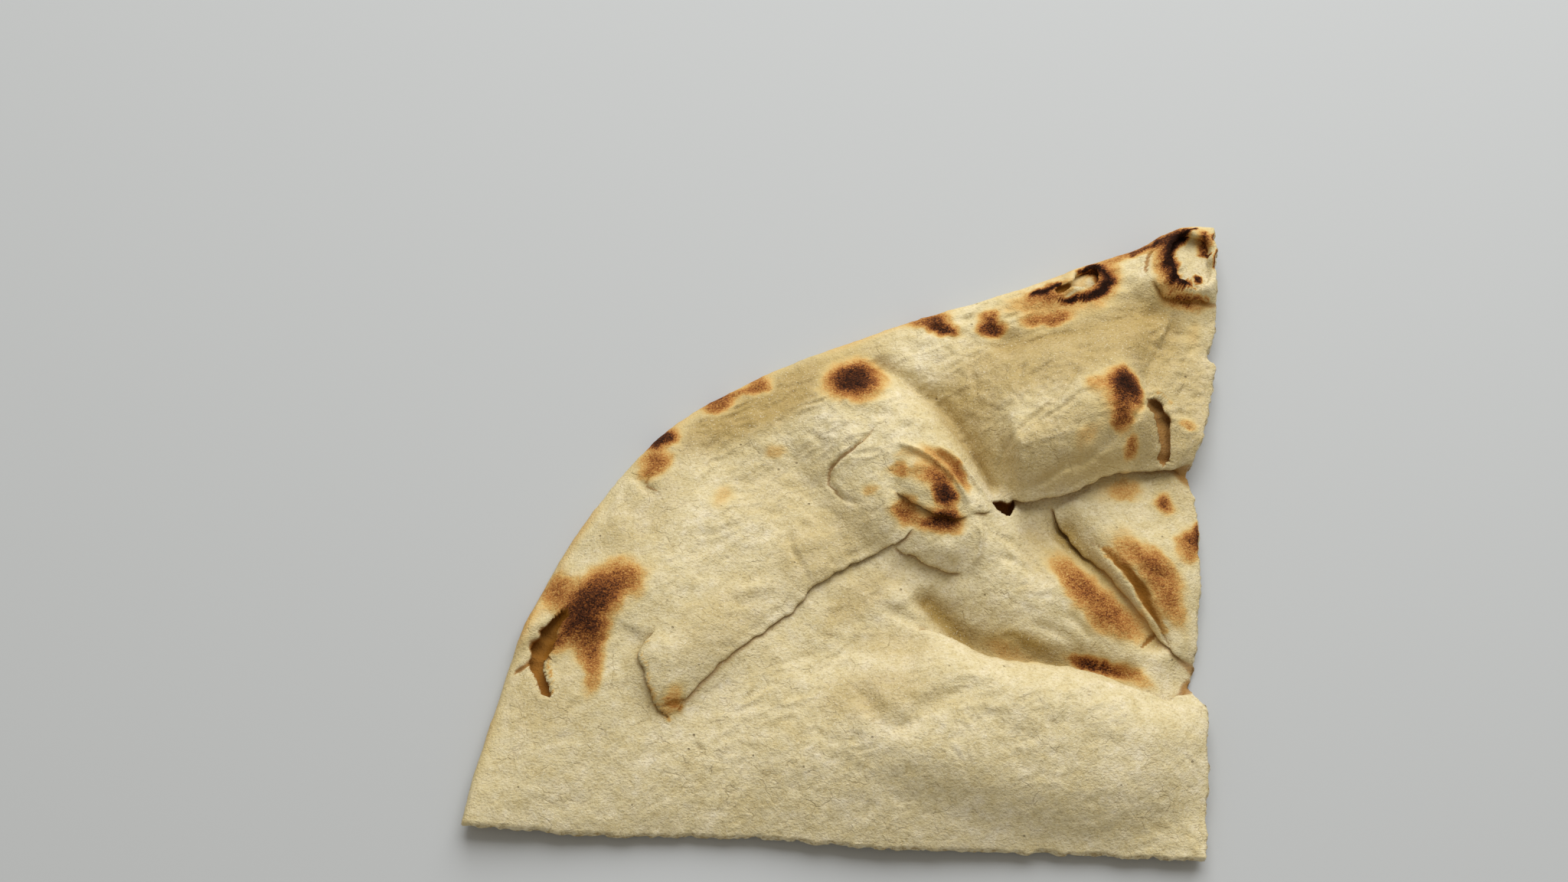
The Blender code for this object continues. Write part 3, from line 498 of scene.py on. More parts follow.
def press_burst(middle, half_length, half_width, angle, depth, lip, darkness):
    """A floor that runs under the ellipse's ragged edge and comes up as a lip, which dies away outwards."""
    along, across = turned(spots, middle, angle)
    far = np.hypot(along, across) + 1e-9
    radius = 1 / np.hypot(along / far / half_length, across / far / half_width)
    ring = np.column_stack([along, across]) / far[:, None] * BURST_RING + RING_MIDDLE
    radius *= 1 + BURST_RAGGED * swell(ring, BURST_LENGTH, int(300 + 10 * lip))
    floor = BURST_FLOOR * half_width
    under = min(BURST_UNDERCUT, 0.4 * half_width)
    s, a, z, dark = section(
        [(-floor, -depth, 1), (-0.4 * floor, -depth, 1), (under, -0.93 * depth, 1),
         (under, -0.6 * depth, 1), (0.0, lip - 0.5, 0.6), (0.2, lip, 0), (1.2, 0.8 * lip, 0),
         (BURST_REACH, 0, 0)],
        focus=under + 0.6, weight=1.2)
    signed = far - radius
    height[:] += np.interp(signed, s, z) * (signed < BURST_REACH)
    inside[:] = np.maximum(inside, darkness * np.interp(signed, s, dark) * (signed < BURST_REACH))
    near = np.flatnonzero((signed < BURST_REACH) & (signed > -floor))
    shift = (np.interp(signed, s, a) - signed)[near] * hold(near) / far[near]
    spots[near] += (spots[near] - middle) * shift[:, None]


for gash in GASHES:
    press_gash(*gash)
for burst in BURSTS:
    press_burst(*burst)
for slit in SLITS:
    press_slit(*slit)
for lap in LAPS:
    press_lap(*lap)


# ---------------------------------------------------------------------------
# The loft: steam parts the sheet's two skins and lifts them into domes, with
# valleys between, creases, swells, and wrinkles as fine as the dough's grain.

EDGE = 2.6  # thickness of the sheet at its edges
LOFT = 4.6  # how much the steam adds to it further in
LOFT_REACH = 10.0  # distance from a side at which two thirds of that are reached
THICKEN = 0.50  # how fast the underside falls away from the top, per millimetre from the edge
RIM_ROUND = 2.2  # how far in the rim is rounded over
RIM_DROP = 1.3  # and how far down
DOMES = [
    # middle, half length, half width, angle, height
    ((46.5, 22.5), 27, 17, 40, 5),
    ((12.5, 13), 24, 14, -38, 3.2),
    ((24, -43), 54, 21, -3, 3.4),
    ((57.5, -6), 24, 12, -68, 2.4),
    ((36, -12), 24, 16, -48, 2.2),
    ((-36, -14), 46, 22, 55, 3),
    ((-48.5, -16.5), 12, 7.5, 48, 1.8),
    ((58, 50), 22, 11, 20, 1.6),
    ((46.5, 51), 9, 4.5, 22, 1.5),
    ((-61.4, -19.6), 9, 3.4, 64, 2.2),
    ((-6, 24), 26, 12, 24, 1.5),
    ((-28, -26), 15, 9, 48, 1.2),
    ((57.4, 17.4), 6.6, 3.4, 80, 1.5),
    ((70.5, 52.5), 11, 9, 80, 1.6),
    ((17.5, -2.6), 8, 6, -30, 1.2),
]
CURLS = [
    # middle, reach, height
    ((80, 70), 34, 4),
    ((-78, -56), 30, 2.6),
    ((-40, 24), 26, 1.6),
    ((72, 10), 20, 2),
    ((70, -70), 26, 1.4),
    ((5, -68), 24, 1.8),
    ((18, 50), 18, 1),
]
BULGES = [
    # lines with the bulge on their left, each with its slope's reach, then height and ellipse
    # the big dome, between the valley, the crevice and the tear at its right
    ([([(-4, 41), (9, 33), (14.5, 29), (19.5, 24.5), (23.4, 17.7), (27, 10.5), (30.5, 3), (33, -4)], 9),
      ([(20, 0), (30, 4.2), (35, 4.6), (42, 6.2), (49.5, 9.2), (58.5, 10.9), (76, 11.2)], 17),
      ([(64, 6), (62.5, 14), (61, 21), (58.5, 28), (62, 36)], 8)],
     4.6, (45, 22), 34, 22, 32),
    # the middle dome, this side of the valley
    ([([(31.5, -4), (29.6, 2.4), (27, 9.6), (23.6, 17.2), (19.6, 24), (14.6, 28.6), (2, 36)], 6.5)],
     3.2, (12, 12), 28, 19, -42),
    # the front layer's crest
    ([([(70, -31), (60.5, -35), (52, -32), (45.5, -29.8), (38.6, -28.6), (30.8, -28), (26.2, -26.8),
        (21.3, -24.5), (17.4, -22.6), (10, -20)], 10)], 2.6, (34, -40), 42, 20, -8),
]
BULGE_FLAT = 1.3  # how flat a bulge is on top before its ellipse ends it
VALLEYS = [
    # path, half width, depth
    ([(4, 35), (9.5, 32), (14.5, 28.5), (19.5, 24), (23.4, 17.7), (27.2, 10.5), (30.5, 4.5)], 3, 1.7),
    ([(12.6, -12.8), (15.3, -15.2), (18.7, -18.4), (21.6, -21.4), (27, -24.6),
      (36, -26.4), (46, -27.6), (56, -30.6)], 4.4, 2.9),
    ([(7, -9), (11, -12), (16, -16.4)], 3.6, 0.9),
    ([(5.6, -16), (9.4, -17.6), (12.4, -18.9), (16.4, -21)], 2.4, 0.9),
    ([(1, -31.6), (4, -36.3), (6.8, -39.6), (10.6, -40.2), (13.9, -37.4), (18, -35), (27, -32.6)], 3.4, 1),
    ([(40.5, 3), (47.5, -7.5), (54.5, -16.5), (61, -25.5)], 4, 2.6),
    ([(33, 2), (38, -3.5), (46, -16)], 4, 0.9),
    ([(-30, 14), (-14, 8), (-12, -4)], 12, 0.8),
    ([(28, 37.5), (40, 38.7), (53, 40.5), (62, 44.5), (66, 42)], 6, 1.6),
    ([(66.6, 46), (65.4, 42.6), (66.5, 38)], 3, 1),
]
CREASES = [
    # path, half width, depth; a negative depth raises a fold
    ([(-11.1, 0.5), (-10.8, -5.1), (-8.9, -8.4), (-7.3, -12.2)], 1, 0.6),
    ([(-19.9, -22), (-17.9, -16.8)], 1, 0.5),
    ([(-24, -15), (-18, -13.4), (-12, -12.6)], 2.4, -0.5),
    ([(6, 18.2), (3.2, 15.6), (0.5, 13.2), (-3.1, 10.6), (-3.4, 8.4), (-2.4, 6.4), (-0.2, 4.1), (4, 2.6)],
     0.7, 0.6),
    ([(-43.6, 11.6), (-40.4, 9.5), (-39, 7.3), (-36, 4.6)], 0.8, 0.8),
    ([(24.9, 1), (25.6, -2), (25.5, -4.6), (25, -7.3), (22.8, -9.8)], 0.9, -0.9),
    ([(48.8, 12.2), (51.6, 16.1), (55, 18.4)], 1.4, 0.9),
    ([(59.1, 23.5), (56.7, 20.8), (55.1, 18), (54.2, 15.7), (53.7, 13.4)], 0.7, 0.8),
    ([(58, 25.6), (61.4, 26.2), (64.4, 24)], 0.8, -0.6),
    # the sharp bottom of the valley between the domes
    ([(17, 22.6), (21.6, 18.2), (25.6, 13), (27.6, 9), (29, 5.6)], 0.9, 0.9),
    # the pinched folds of the middle dome
    ([(8.6, 15), (13, 13.2), (15.9, 11.4), (18.4, 9.4), (20.6, 6.9), (22.4, 4), (23.8, 1.4)], 0.9, -1.2),
    ([(16.4, 14.6), (20.4, 12), (23.5, 9), (25.5, 6.2), (26.9, 3)], 0.9, -1.2),
    ([(15, 14), (19, 11.2), (21.8, 8), (24.2, 4)], 0.9, 0.8),
    ([(46, 31), (43.6, 27), (40.9, 23.1), (38.7, 20.9), (36, 18.7), (33.4, 16.4), (31.7, 14.8),
      (29.9, 12.2), (28.9, 8.6)], 1, 0.9),
    ([(46, 24.6), (42.2, 20.6), (37.8, 18.2), (34.8, 15.9), (31.7, 14)], 0.8, 0.6),
    ([(33.6, 5.2), (37.2, 6.9), (41.5, 9.2), (45, 10.5), (49.9, 13.5), (53.4, 15.2), (56.4, 16.6)], 1, 0.9),
    ([(28, 37), (24.8, 33), (25.6, 28.6), (24, 24.6)], 1, 0.5),
    ([(36, 33.6), (34, 29.4), (35.6, 25)], 0.9, 0.5), ([(52, 36.4), (47, 34.6), (42.6, 34.8)], 1, 0.6),
    # the lifted strip beside the slit in the right flap
    ([(46.4, -3), (49, -6.6), (52, -10.6), (55.6, -15.6), (59.4, -21.4)], 1.3, -0.7),
    # soft folds on the middle layer
    ([(27, -1.6), (32, -4.6), (36, -8.6), (39, -14)], 1.6, 0.5),
    ([(28, -7), (33, -8.6), (36.4, -12.6)], 1.6, 0.5),
    ([(38.6, 0.4), (42.4, -4.2), (45.4, -8.8), (48.6, -12.6)], 1, 0.6),
    ([(40, -17), (44, -20), (47.6, -23.6)], 1.4, 0.7),
    ([(33, -19.6), (39, -21), (44, -23.8)], 1.4, 0.5),
    # short cracks along the rim side
    ([(57.6, 57), (56.6, 55), (56.6, 52.6)], 0.7, 0.7),
    ([(28, 38), (34, 37.6), (41, 39.2), (48, 39.4)], 1.2, 0.6),
]
FOLD_END = 4.0  # length over which a valley or a crease fades at its ends
FOLD_WIDTH = 0.6  # share of its half width at which it is a third as deep
CALM = 0.5  # how much smoother the front layer lies
CALM_FROM = -22.0  # place in Y from which it calms down
CALM_FADE = 16.0
SWELLS = [(26.0, 0.6, 11), (12.0, 0.55, 12), (6.5, 0.4, 13), (3.4, 0.17, 14)]  # spacing, height, seed
SWELL_EDGE = 6.0  # distance from the edge at which the swells have their full height
WRINKLES = [
    # length and width of a wrinkle, its height (negative for a crease), angle it runs at, seed
    (3.6, 1.9, 0.17, 22, 21),
    (2.2, 1.4, 0.10, 44, 22),
    (3, 1.6, -0.12, -46, 23),
    (5, 2.4, -0.14, 68, 24),
]
WRINKLE_EDGE = 2.0
WRINKLE_BEND = 0.6  # how far wrinkles bend out of their line, and over what length
BEND_LENGTH = 1.7
WRINKLE_AREAS = 11.0  # size of the areas that wrinkle more and less
AREA_SHARE, AREA_CHANGE = 0.6, 0.9  # the usual strength there, and how much it changes
LEAST_WRINKLED = 0.1
WRINKLE_LEVEL = 0.6  # height of a wrinkle's ridge above the skin between, as a share
LOOSE = 0.9  # how much more the skin wrinkles towards the rim
LOOSE_FADE = 30.0


def crown(places, middle, half_length, half_width, angle):
    """Ellipse that is 1 in the middle and falls by the square of the distance to 0 on its edge."""
    along, across = turned(places, middle, angle)
    return np.clip(1 - (along / half_length) ** 2 - (across / half_width) ** 2, 0, 1)


def broad_height(places):
    """Loft that rises exponentially from each side, plus domes, bulges, curls and swells, less valleys."""
    from_sides = [np.abs(from_path(places, line)[0]) for line in side_lines]
    from_edge, from_rim = np.min(from_sides, axis=0), from_sides[1]
    total = EDGE + LOFT * np.prod([1 - np.exp(-distance / LOFT_REACH) for distance in from_sides], axis=0)
    total -= RIM_DROP * (1 - np.sqrt(1 - (1 - np.clip(from_rim / RIM_ROUND, 0, 1)) ** 2))
    for *ellipse, rise in DOMES:
        total += rise * crown(places, *ellipse) ** 2
    for lines, rise, *ellipse in BULGES:
        bulge = ease(BULGE_FLAT * crown(places, *ellipse))
        for line, reach in lines:
            signed = from_path(places, curve(line, spacing=1.0))[0]
            bulge *= np.sin(np.pi / 2 * np.clip(signed / reach, 0, 1))
        total += rise * bulge
    for middle, reach, rise in CURLS:
        total += rise * np.exp(-((places - middle) ** 2).sum(1) / reach**2)
    hollow = np.zeros(len(places))
    for path, half_width, depth in VALLEYS + CREASES:
        route = curve(path, spacing=1.0)
        signed, share, _ = from_path(places, route)
        ends = between_ends(share * length_of(route), length_of(route), FOLD_END)
        hollow += depth * ends * np.exp(-(signed / (FOLD_WIDTH * half_width)) ** 2)
    total -= hollow
    calm = 1 - CALM * ease((CALM_FROM - places[:, 1]) / CALM_FADE)
    for spacing, rise, seed in SWELLS:
        total += rise * swell(places, spacing, seed) * ease(from_edge / SWELL_EDGE) * calm
    return total, from_edge, from_rim, hollow


def drift(places, spacing, seed, step=1):
    """Smooth sideways unevenness: one swell for each direction in plan."""
    return np.column_stack([swell(places, spacing, seed), swell(places, spacing, seed + step)])


def wrinkled(places):
    """Ridged lattice noise, stretched along each set's direction and stronger in some areas than others."""
    total = np.zeros(len(places))
    loose = LOOSE * ease(places[:, 1] / LOOSE_FADE)
    for length, width, rise, angle, seed in WRINKLES:
        along, across = turned(places, (0, 0), angle)
        stretched = np.column_stack([along / length, across / width])
        bent = stretched + WRINKLE_BEND * drift(stretched, BEND_LENGTH, seed + 50, step=10)
        area = AREA_SHARE + AREA_CHANGE * swell(places, WRINKLE_AREAS, seed + 70) + loose
        strength = rise * np.clip(area, LEAST_WRINKLED, None)
        total += strength * (WRINKLE_LEVEL - 2 * np.abs(swell(bent, 1.0, seed)))
    return total


broad, from_edge, from_rim, hollow = broad_height(spots)
skin_open = 1 - np.clip(2 * inside, 0, 1)
fine = wrinkled(spots) * ease(from_edge / WRINKLE_EDGE) * skin_open
top = np.column_stack([spots, height + broad + fine])


# ---------------------------------------------------------------------------
# The cut sides and the underside: the cuts show rough pale crumb between two
# skins. Below, the sheet is flat where it rests and one sheet thick at its
# edges, where it curls clear of the table.

WALL = [
    # share of the way down the cut, and how far it stands out there
    (0.12, 0.10), (0.30, 0.24), (0.50, 0.10), (0.72, 0.22), (0.90, 0.05), (1.0, -0.30),
]
CRUMB_ROUGH = 0.3  # how far the crumb stands out and in
CRUMB_LENGTH = 0.8
WHOLE_SKIN = 3.0  # how far from the rim the skin runs whole over the edge
UNDER_INSET = 0.3  # how far the underside stays inside the outline
UNDERSIDE_RINGS = [0.985, 0.96, 0.925, 0.88, 0.82, 0.74, 0.62, 0.42]  # share of the way from the centre


def close_body():
    """Rings from the top's edge down the wall and inwards below: copies of the edge, moved and scaled."""
    edge = flat[loop]
    along = np.roll(edge, -1, axis=0) - np.roll(edge, 1, axis=0)
    out = np.column_stack([along[:, 1], -along[:, 0]]) / np.linalg.norm(along, axis=1)[:, None]
    upper = top[loop, 2]
    lower = np.clip(upper - EDGE, 0, None)
    cut_side = ease(from_rim[loop] / WHOLE_SKIN)
    rings = []
    for k, (share, proud) in enumerate(WALL):
        crumb = CRUMB_ROUGH * swell(edge, CRUMB_LENGTH, 71 + k) * cut_side * (share < 1)
        places = edge + out * (proud + crumb)[:, None]
        rings.append(np.column_stack([places, upper + (lower - upper) * share]))
    for scale in UNDERSIDE_RINGS:
        places = CENTRE + (edge - out * UNDER_INSET - CENTRE) * scale
        below, inwards, _, _ = broad_height(places)
        rings.append(np.column_stack([places, np.clip(below - EDGE - THICKEN * inwards, 0, None)]))
    vertices = np.vstack([top] + rings + [[[*CENTRE, 0.0]]])
    count = len(loop)
    numbers = [loop] + [len(top) + i * count + np.arange(count) for i in range(len(rings))]
    bands = [np.stack([a, b, np.roll(b, -1), np.roll(a, -1)], axis=1) for a, b in zip(numbers, numbers[1:])]
    last = numbers[-1]
    fan = np.stack([last, np.full(count, len(vertices) - 1), np.roll(last, -1)], axis=1)
    wall_numbers = np.concatenate(numbers[1:1 + len(WALL)])
    return vertices, np.vstack([quads] + bands), fan, wall_numbers, np.tile(cut_side, len(WALL))


vertices, four_sided, fan, wall_numbers, wall_crumb = close_body()


# ---------------------------------------------------------------------------
# The scorching: where the dough touched hot clay or stood closest to the
# fire it is gold, brown or black. Each mark is a soft ellipse or line, and
# together they say how baked every point is, from 0, pale dough, to 1, char.

SCORCHES = [
    # middle, half length, half width, angle, how far baked
    ((1.7, 29.5), 7.6, 6.8, 0, 0.66), ((1.7, 29.5), 4.8, 4.4, 20, 0.6), ((19.7, 42), 4.6, 3, -25, 0.62),
    ((20.2, 41.6), 3, 1.6, -25, 0.5), ((16.5, 43.9), 4.2, 2.4, 15, 0.4), ((29.2, 41.8), 3.5, 3.1, 0, 0.66),
    ((29.4, 41.7), 2, 1.6, 0, 0.4), ((29.5, 44.9), 2.4, 1.6, 0, 0.42), ((-17.6, 29.7), 3.4, 2.6, 20, 0.5),
    ((-21, 28.7), 2.6, 1.6, 20, 0.3), ((-24.9, 26.2), 4, 3.2, 15, 0.52), ((-35.8, 18.1), 4.2, 3, 25, 0.6),
    ((-35.8, 18.5), 2.8, 1.9, 25, 0.55), ((-36.9, 12.3), 4.4, 3.6, 30, 0.52),
    ((-13.9, 15), 3, 2.4, 0, 0.24), ((-24, 5.3), 3.6, 3, 60, 0.22), ((4.4, 5.4), 2.6, 1.6, -25, 0.26),
    # on the middle dome
    ((17.2, 7.6), 7, 4, -66, 0.34), ((18.2, 5.4), 5, 2.6, -76, 0.42), ((18.7, 3.9), 2.7, 1.9, -80, 0.66),
    ((21.5, 8.2), 4.6, 1.7, -66, 0.5), ((9.6, 8.9), 2.8, 2, 0, 0.36), ((13.4, 7.7), 4.6, 2.8, -20, 0.2),
    ((11.3, 12.3), 4.4, 1.8, 0, 0.2), ((17.8, 12.5), 5, 1.8, -30, 0.22), ((10.4, 1.4), 3.4, 3.1, 0, 0.5),
    ((17.6, -1), 5.4, 2.8, -6, 0.5), ((17.8, -0.6), 3.8, 1.7, -6, 0.5), ((13.3, 0.8), 3, 2.4, 0, 0.16),
    # on the big dome
    ((51.6, 23.5), 7.6, 6, 60, 0.22), ((53.8, 24.6), 6.2, 4, 84, 0.5), ((54, 25.6), 4.6, 3.3, 84, 0.8),
    ((52.8, 18.2), 3.6, 2.7, 70, 0.5), ((47.3, 25.2), 3.4, 2.2, 20, 0.24),
    # the last one here, long and faint, is a painted warm tint in the shade of the dome's lower flank
    ((54.8, 13.4), 2.6, 1.6, 60, 0.44), ((45.9, 14.8), 4.4, 2.6, 30, 0.22), ((46, 9.8), 16, 3.4, 14, 0.12),
    # on the right flap and along its cut
    ((66.7, 19.9), 2.8, 2.2, 0, 0.34), ((53.4, 6.6), 5.4, 3.2, 12, 0.34), ((61.9, 4.7), 3.4, 3.2, 0, 0.32),
    ((61.9, 4.5), 1.9, 1.8, 0, 0.4), ((66.8, -3.2), 5.6, 3.8, 60, 0.46), ((68.5, -1.6), 3.6, 2, 70, 0.56),
    ((55.2, -6.2), 8.4, 4.2, -38, 0.36), ((60.2, -11.6), 8.4, 4.6, -58, 0.4),
    ((62.6, -17.4), 6.4, 3, -64, 0.22),
    # on the middle layer
    ((43, -10), 8, 4.4, -54, 0.36), ((47.4, -15.2), 8.6, 5.4, -48, 0.42),
    ((53.4, -19.2), 7, 4.8, -30, 0.34), ((48.8, -27.3), 8.6, 2, -9, 0.5),
    ((46.6, -26.9), 5.4, 1.3, -9, 0.55), ((55.9, -30.2), 4, 2.6, -20, 0.26),
    ((31, -24.6), 8, 2.6, -20, 0.24), ((69.7, 40.1), 5.6, 3.2, 80, 0.18), ((33.9, -13.3), 3, 2.4, 0, 0.12),
    # the scorched blister at the left
    ((-47.8, -14.6), 10, 6.6, 38, 0.46), ((-49.8, -17.2), 7.2, 4.8, 48, 0.62),
    ((-42.4, -12), 6.4, 4.8, 40, 0.36), ((-55.4, -12.8), 5.6, 3, 62, 0.42),
    ((-48.6, -23.2), 6.4, 4, 80, 0.52), ((-48.4, -30), 6.4, 2.3, 90, 0.36),
    ((-54, -22.6), 5, 2.6, 60, 0.36), ((-33, -34.8), 3.6, 2.4, 55, 0.32),
    # round the blister that burst on the rim
    ((52, 51.6), 6, 3.6, 68, 0.42), ((46, 47), 12, 6, 20, 0.26), ((37.8, 43.3), 3.6, 2.2, 10, 0.4),
    ((42.4, 43.3), 3.4, 2.4, 10, 0.4), ((36.3, 47.5), 7, 3, 14, 0.24), ((40.8, 49.4), 4.6, 2.4, 15, 0.36),
    # round the blister that burst at the corner
    ((64.2, 54), 8, 3.2, 86, 0.4), ((67.9, 47.2), 5, 2, -12, 0.3), ((66, 61.2), 5.4, 2.2, 22, 0.42),
    ((59.5, 58.4), 9, 2, 17, 0.4), ((68.4, 45.9), 6, 1.6, -4, 0.24), ((73, 60), 3.6, 2.4, 80, 0.4),
]
PALE_FLAKES = [
    # dough bared inside the burst blisters: middle, half length, half width, angle, how much
    ((70.8, 54), 5.6, 7.4, 0, 0.92), ((43.2, 50.2), 1.5, 0.9, 30, 0.95), ((47.4, 49.6), 2, 1.3, 20, 0.95),
    ((49.6, 52), 2.2, 1.3, 60, 0.9), ((45.6, 48.2), 1.3, 0.7, 0, 0.8),
]
CHARRED_EDGES = [
    # path, half widths along it, how far baked
    # the burst blister at the corner: its left wall, its back, and flecks in it
    ([(69.4, 62.2), (66.8, 60.2), (65.7, 57.4), (65.5, 53.8), (66.3, 50.8), (67.6, 49.2)],
     (1, 1.3, 1.9, 2.6, 2.3, 1.2), 0.98),
    ([(63.4, 59.8), (66.8, 61.8), (70.6, 62.9)], (1, 1.3, 1), 0.45),
    ([(69.4, 62.8), (71.6, 63)], (0.8, 0.6), 0.95),
    ([(73.2, 61.8), (72.9, 58.4)], (0.8, 0.9), 0.62), ([(72.6, 57.6), (73.6, 57)], (0.8, 0.5), 0.9),
    ([(70.9, 51.4), (71.7, 51.4)], (1.3, 1.1), 0.9), ([(68.4, 50), (69.4, 49.8)], (1.3, 1.1), 0.98),
    ([(75, 57.6), (75, 54.6)], (0.6, 0.8), 0.85), ([(75.2, 61.6), (74.8, 60.2)], (0.5, 0.5), 0.9),
    ([(64.8, 48), (66.8, 46.9), (69.9, 46.8), (73.4, 47.4)], (0.5, 0.7, 0.7, 0.4), 0.4),
    # the burst blister on the rim
    ([(47.4, 54.4), (50.4, 54.9), (52.4, 53.3), (52.9, 50.9), (51.5, 48.8), (49.2, 47.6), (46, 47.2),
      (43.2, 47.4)], (0.6, 0.9, 1.5, 1.7, 1.5, 1.2, 1.1, 0.6), 0.96),
    ([(38.4, 49.3), (40.8, 50.3), (43, 51.2)], (0.8, 1.6, 0.9), 0.97),
    # edges browned along tears, laps and the rim
    ([(58, 57.4), (61, 58.9), (63.8, 60)], (0.6, 0.9, 0.8), 0.55),
    ([(-52.4, -20.4), (-54.2, -22.6), (-56.2, -23.8), (-57, -26), (-56.2, -29.6), (-55.4, -33)],
     (1.2, 1.2, 1, 0.7, 0.6, 0.4), 0.4),
    ([(-37.3, -23.8), (-39.2, -26), (-37.7, -29.3), (-36.9, -33.1), (-35.6, -35.8), (-33.4, -38.6)],
     (0.4, 0.6, 0.6, 0.7, 0.8, 0.6), 0.3),
    ([(-34.4, -34.8), (-31.4, -35.8)], (0.9, 0.6), 0.3), ([(61.2, 26), (63.8, 24.2)], (0.7, 0.7), 0.3),
    ([(49.6, -5), (53.6, -9.6), (58, -16.4), (60.6, -21)], (0.8, 1.3, 1.2, 0.7), 0.26),
]
OLIVE_AND_SHADE_PARTS = [
    # darker olive parts, partly the dough's own tone where the skin is thin and partly painted shade on
    # flanks and in valleys: middle, half length, half width, angle, how much
    ((44, 36), 40, 15, 20, 0.75), ((64, 26), 15, 30, 0, 0.55), ((44, 14), 24, 11, 15, 0.55),
    ((45, 9.4), 18, 3.6, 14, 0.35), ((24, 20), 9, 14, 20, 0.6), ((-14, 27), 36, 10, 28, 0.9),
    ((-40, 2), 18, 8, 50, 0.3), ((-4, -4), 16, 10, 40, 0.45), ((26, -18), 14, 6, -30, 0.15),
    ((32, -23.4), 10, 3.6, -12, 1), ((50, -14), 6, 16, 30, 0.25), ((-24, -20), 14, 8, 45, 0.3),
    ((-33, -34.8), 5, 3.4, 55, 0.9), ((-12, 8), 16, 10, 30, 0.15), ((-58, -30), 12, 16, 0, 0.3),
    ((52, 30), 20, 9, 30, 0.2), ((5, -34), 15, 7, 10, 0.5), ((9, -24), 11, 5, -10, 0.4),
    ((2, -15), 12, 5, 38, 0.5), ((37.5, -7.5), 10, 5, -40, 0.3),
]
OLIVE_FADE = 1.6  # how soon an olive part fades, over its radius
SOFT_MARK = 0.8  # share of a mark's radius over which it fades
MARK_SPREAD = 1.2  # radius at which a mark has faded, in those of its ellipse
HALO_SPREAD = 1.9
HALO = 0.2  # how much of a mark's strength its golden halo has
MARK_LENGTHS = (3.0, 1.2)  # how long the larger and the smaller wanderings of a mark's edge are
SMALLER_WANDER = 0.6
MARK_WANDER = 0.7
CRISP_EDGE = 0.7  # share of a flake's or a charred line's half width over which it fades
CRISP_LENGTH = 1.3
CRISP_WANDER, CRISP_DRIFT = 0.5, 0.15  # how far such a crisp edge wanders, by itself and with the marks
STEEP_WANDER = np.array([1.9, -1.4])  # how the edges of marks wander where the skin stands steep
RIM_GOLD = 0.30
RIM_GOLD_WIDTH = 2.4
RIM_PATCHES = 9.0  # size of the rim's more and less golden stretches
RIM_SHARE, RIM_CHANGE = 0.75, 0.5  # the usual strength there, and how much it changes
CRUMB_PALE = 0.7  # how much less the crumb of a cut is baked than the skin above it
UNDER_BAKE = 0.22
UNDER_OLIVE = 0.2
PRESSED = 0.5  # share of a fold's drop that counts as depth of a hollow
DEEP = 3.0  # depth at which a hollow's painted shade is at its darkest olive
DEEP_START = 1.6  # how late that painted shade comes on the way down


def elliptic_reach(places, middle, half_length, half_width, angle):
    """Distance from the ellipse's middle, as a share of its radius in that direction."""
    along, across = turned(places, middle, angle)
    return np.hypot(along / half_length, across / half_width)


def baked(places, sunk, to_rim):
    """One less the product of what marks, halos and edges leave pale; noise makes their edges wander."""
    wander = drift(places, MARK_LENGTHS[0], 41) + SMALLER_WANDER * drift(places, MARK_LENGTHS[1], 43)
    warped = places + MARK_WANDER * wander
    leaning = places + sunk[:, None] * STEEP_WANDER
    crisp = places + CRISP_WANDER * drift(leaning, CRISP_LENGTH, 46) + CRISP_DRIFT * wander
    pale = np.ones(len(places))
    for *ellipse, level in SCORCHES:
        reach = elliptic_reach(warped, *ellipse)
        pale *= 1 - level * ease((1 - reach / MARK_SPREAD) / SOFT_MARK)
        pale *= 1 - HALO * level * ease(1 - reach / HALO_SPREAD)
    rim = RIM_GOLD * (RIM_SHARE + RIM_CHANGE * swell(places, RIM_PATCHES, 45))
    pale *= 1 - np.clip(rim * np.exp(-(to_rim / RIM_GOLD_WIDTH) ** 2), 0, 1)
    for *ellipse, level in PALE_FLAKES:
        bared = level * ease((1 - elliptic_reach(crisp, *ellipse)) / CRISP_EDGE)
        pale = pale * (1 - bared) + bared
    for path, half_widths, level in CHARRED_EDGES:
        signed, share, _ = from_path(crisp, curve(path))
        pale *= 1 - level * ease((1 - np.abs(signed) / read_along(share, half_widths)) / CRISP_EDGE)
    return 1 - pale


def olive_tone_and_shade(places):
    """One less the product of what every olive part leaves pale, each fading evenly from its middle: thin
    skin and painted shade.
    """
    pale = np.ones(len(places))
    for *ellipse, level in OLIVE_AND_SHADE_PARTS:
        pale *= 1 - level * ease(OLIVE_FADE - OLIVE_FADE * elliptic_reach(places, *ellipse))
    return 1 - pale


def everywhere(of_top, below=0.0):
    """The values of the top grid, those of its edge down the wall, and one value for the underside."""
    under = len(vertices) - len(top) - len(wall_numbers)
    return np.concatenate([of_top] + [of_top[loop]] * len(WALL) + [np.full(under, below)])


bake = everywhere(baked(spots, height, from_rim), UNDER_BAKE)
bake[wall_numbers] *= 1 - CRUMB_PALE * wall_crumb
crumb = np.zeros(len(vertices))
crumb[wall_numbers] = wall_crumb
# painted shade: hollows darken towards olive with their depth, joined with the crevice shade and the olive
# parts
painted_hollow_shade = np.clip((hollow - PRESSED * height) / DEEP, 0, 1) ** DEEP_START
olive_and_hollow_shade = everywhere(1 - (1 - painted_hollow_shade) * (1 - shaded) * (1 - olive_tone_and_shade(spots)), UNDER_OLIVE)
inside_brown_and_shade = everywhere(inside)


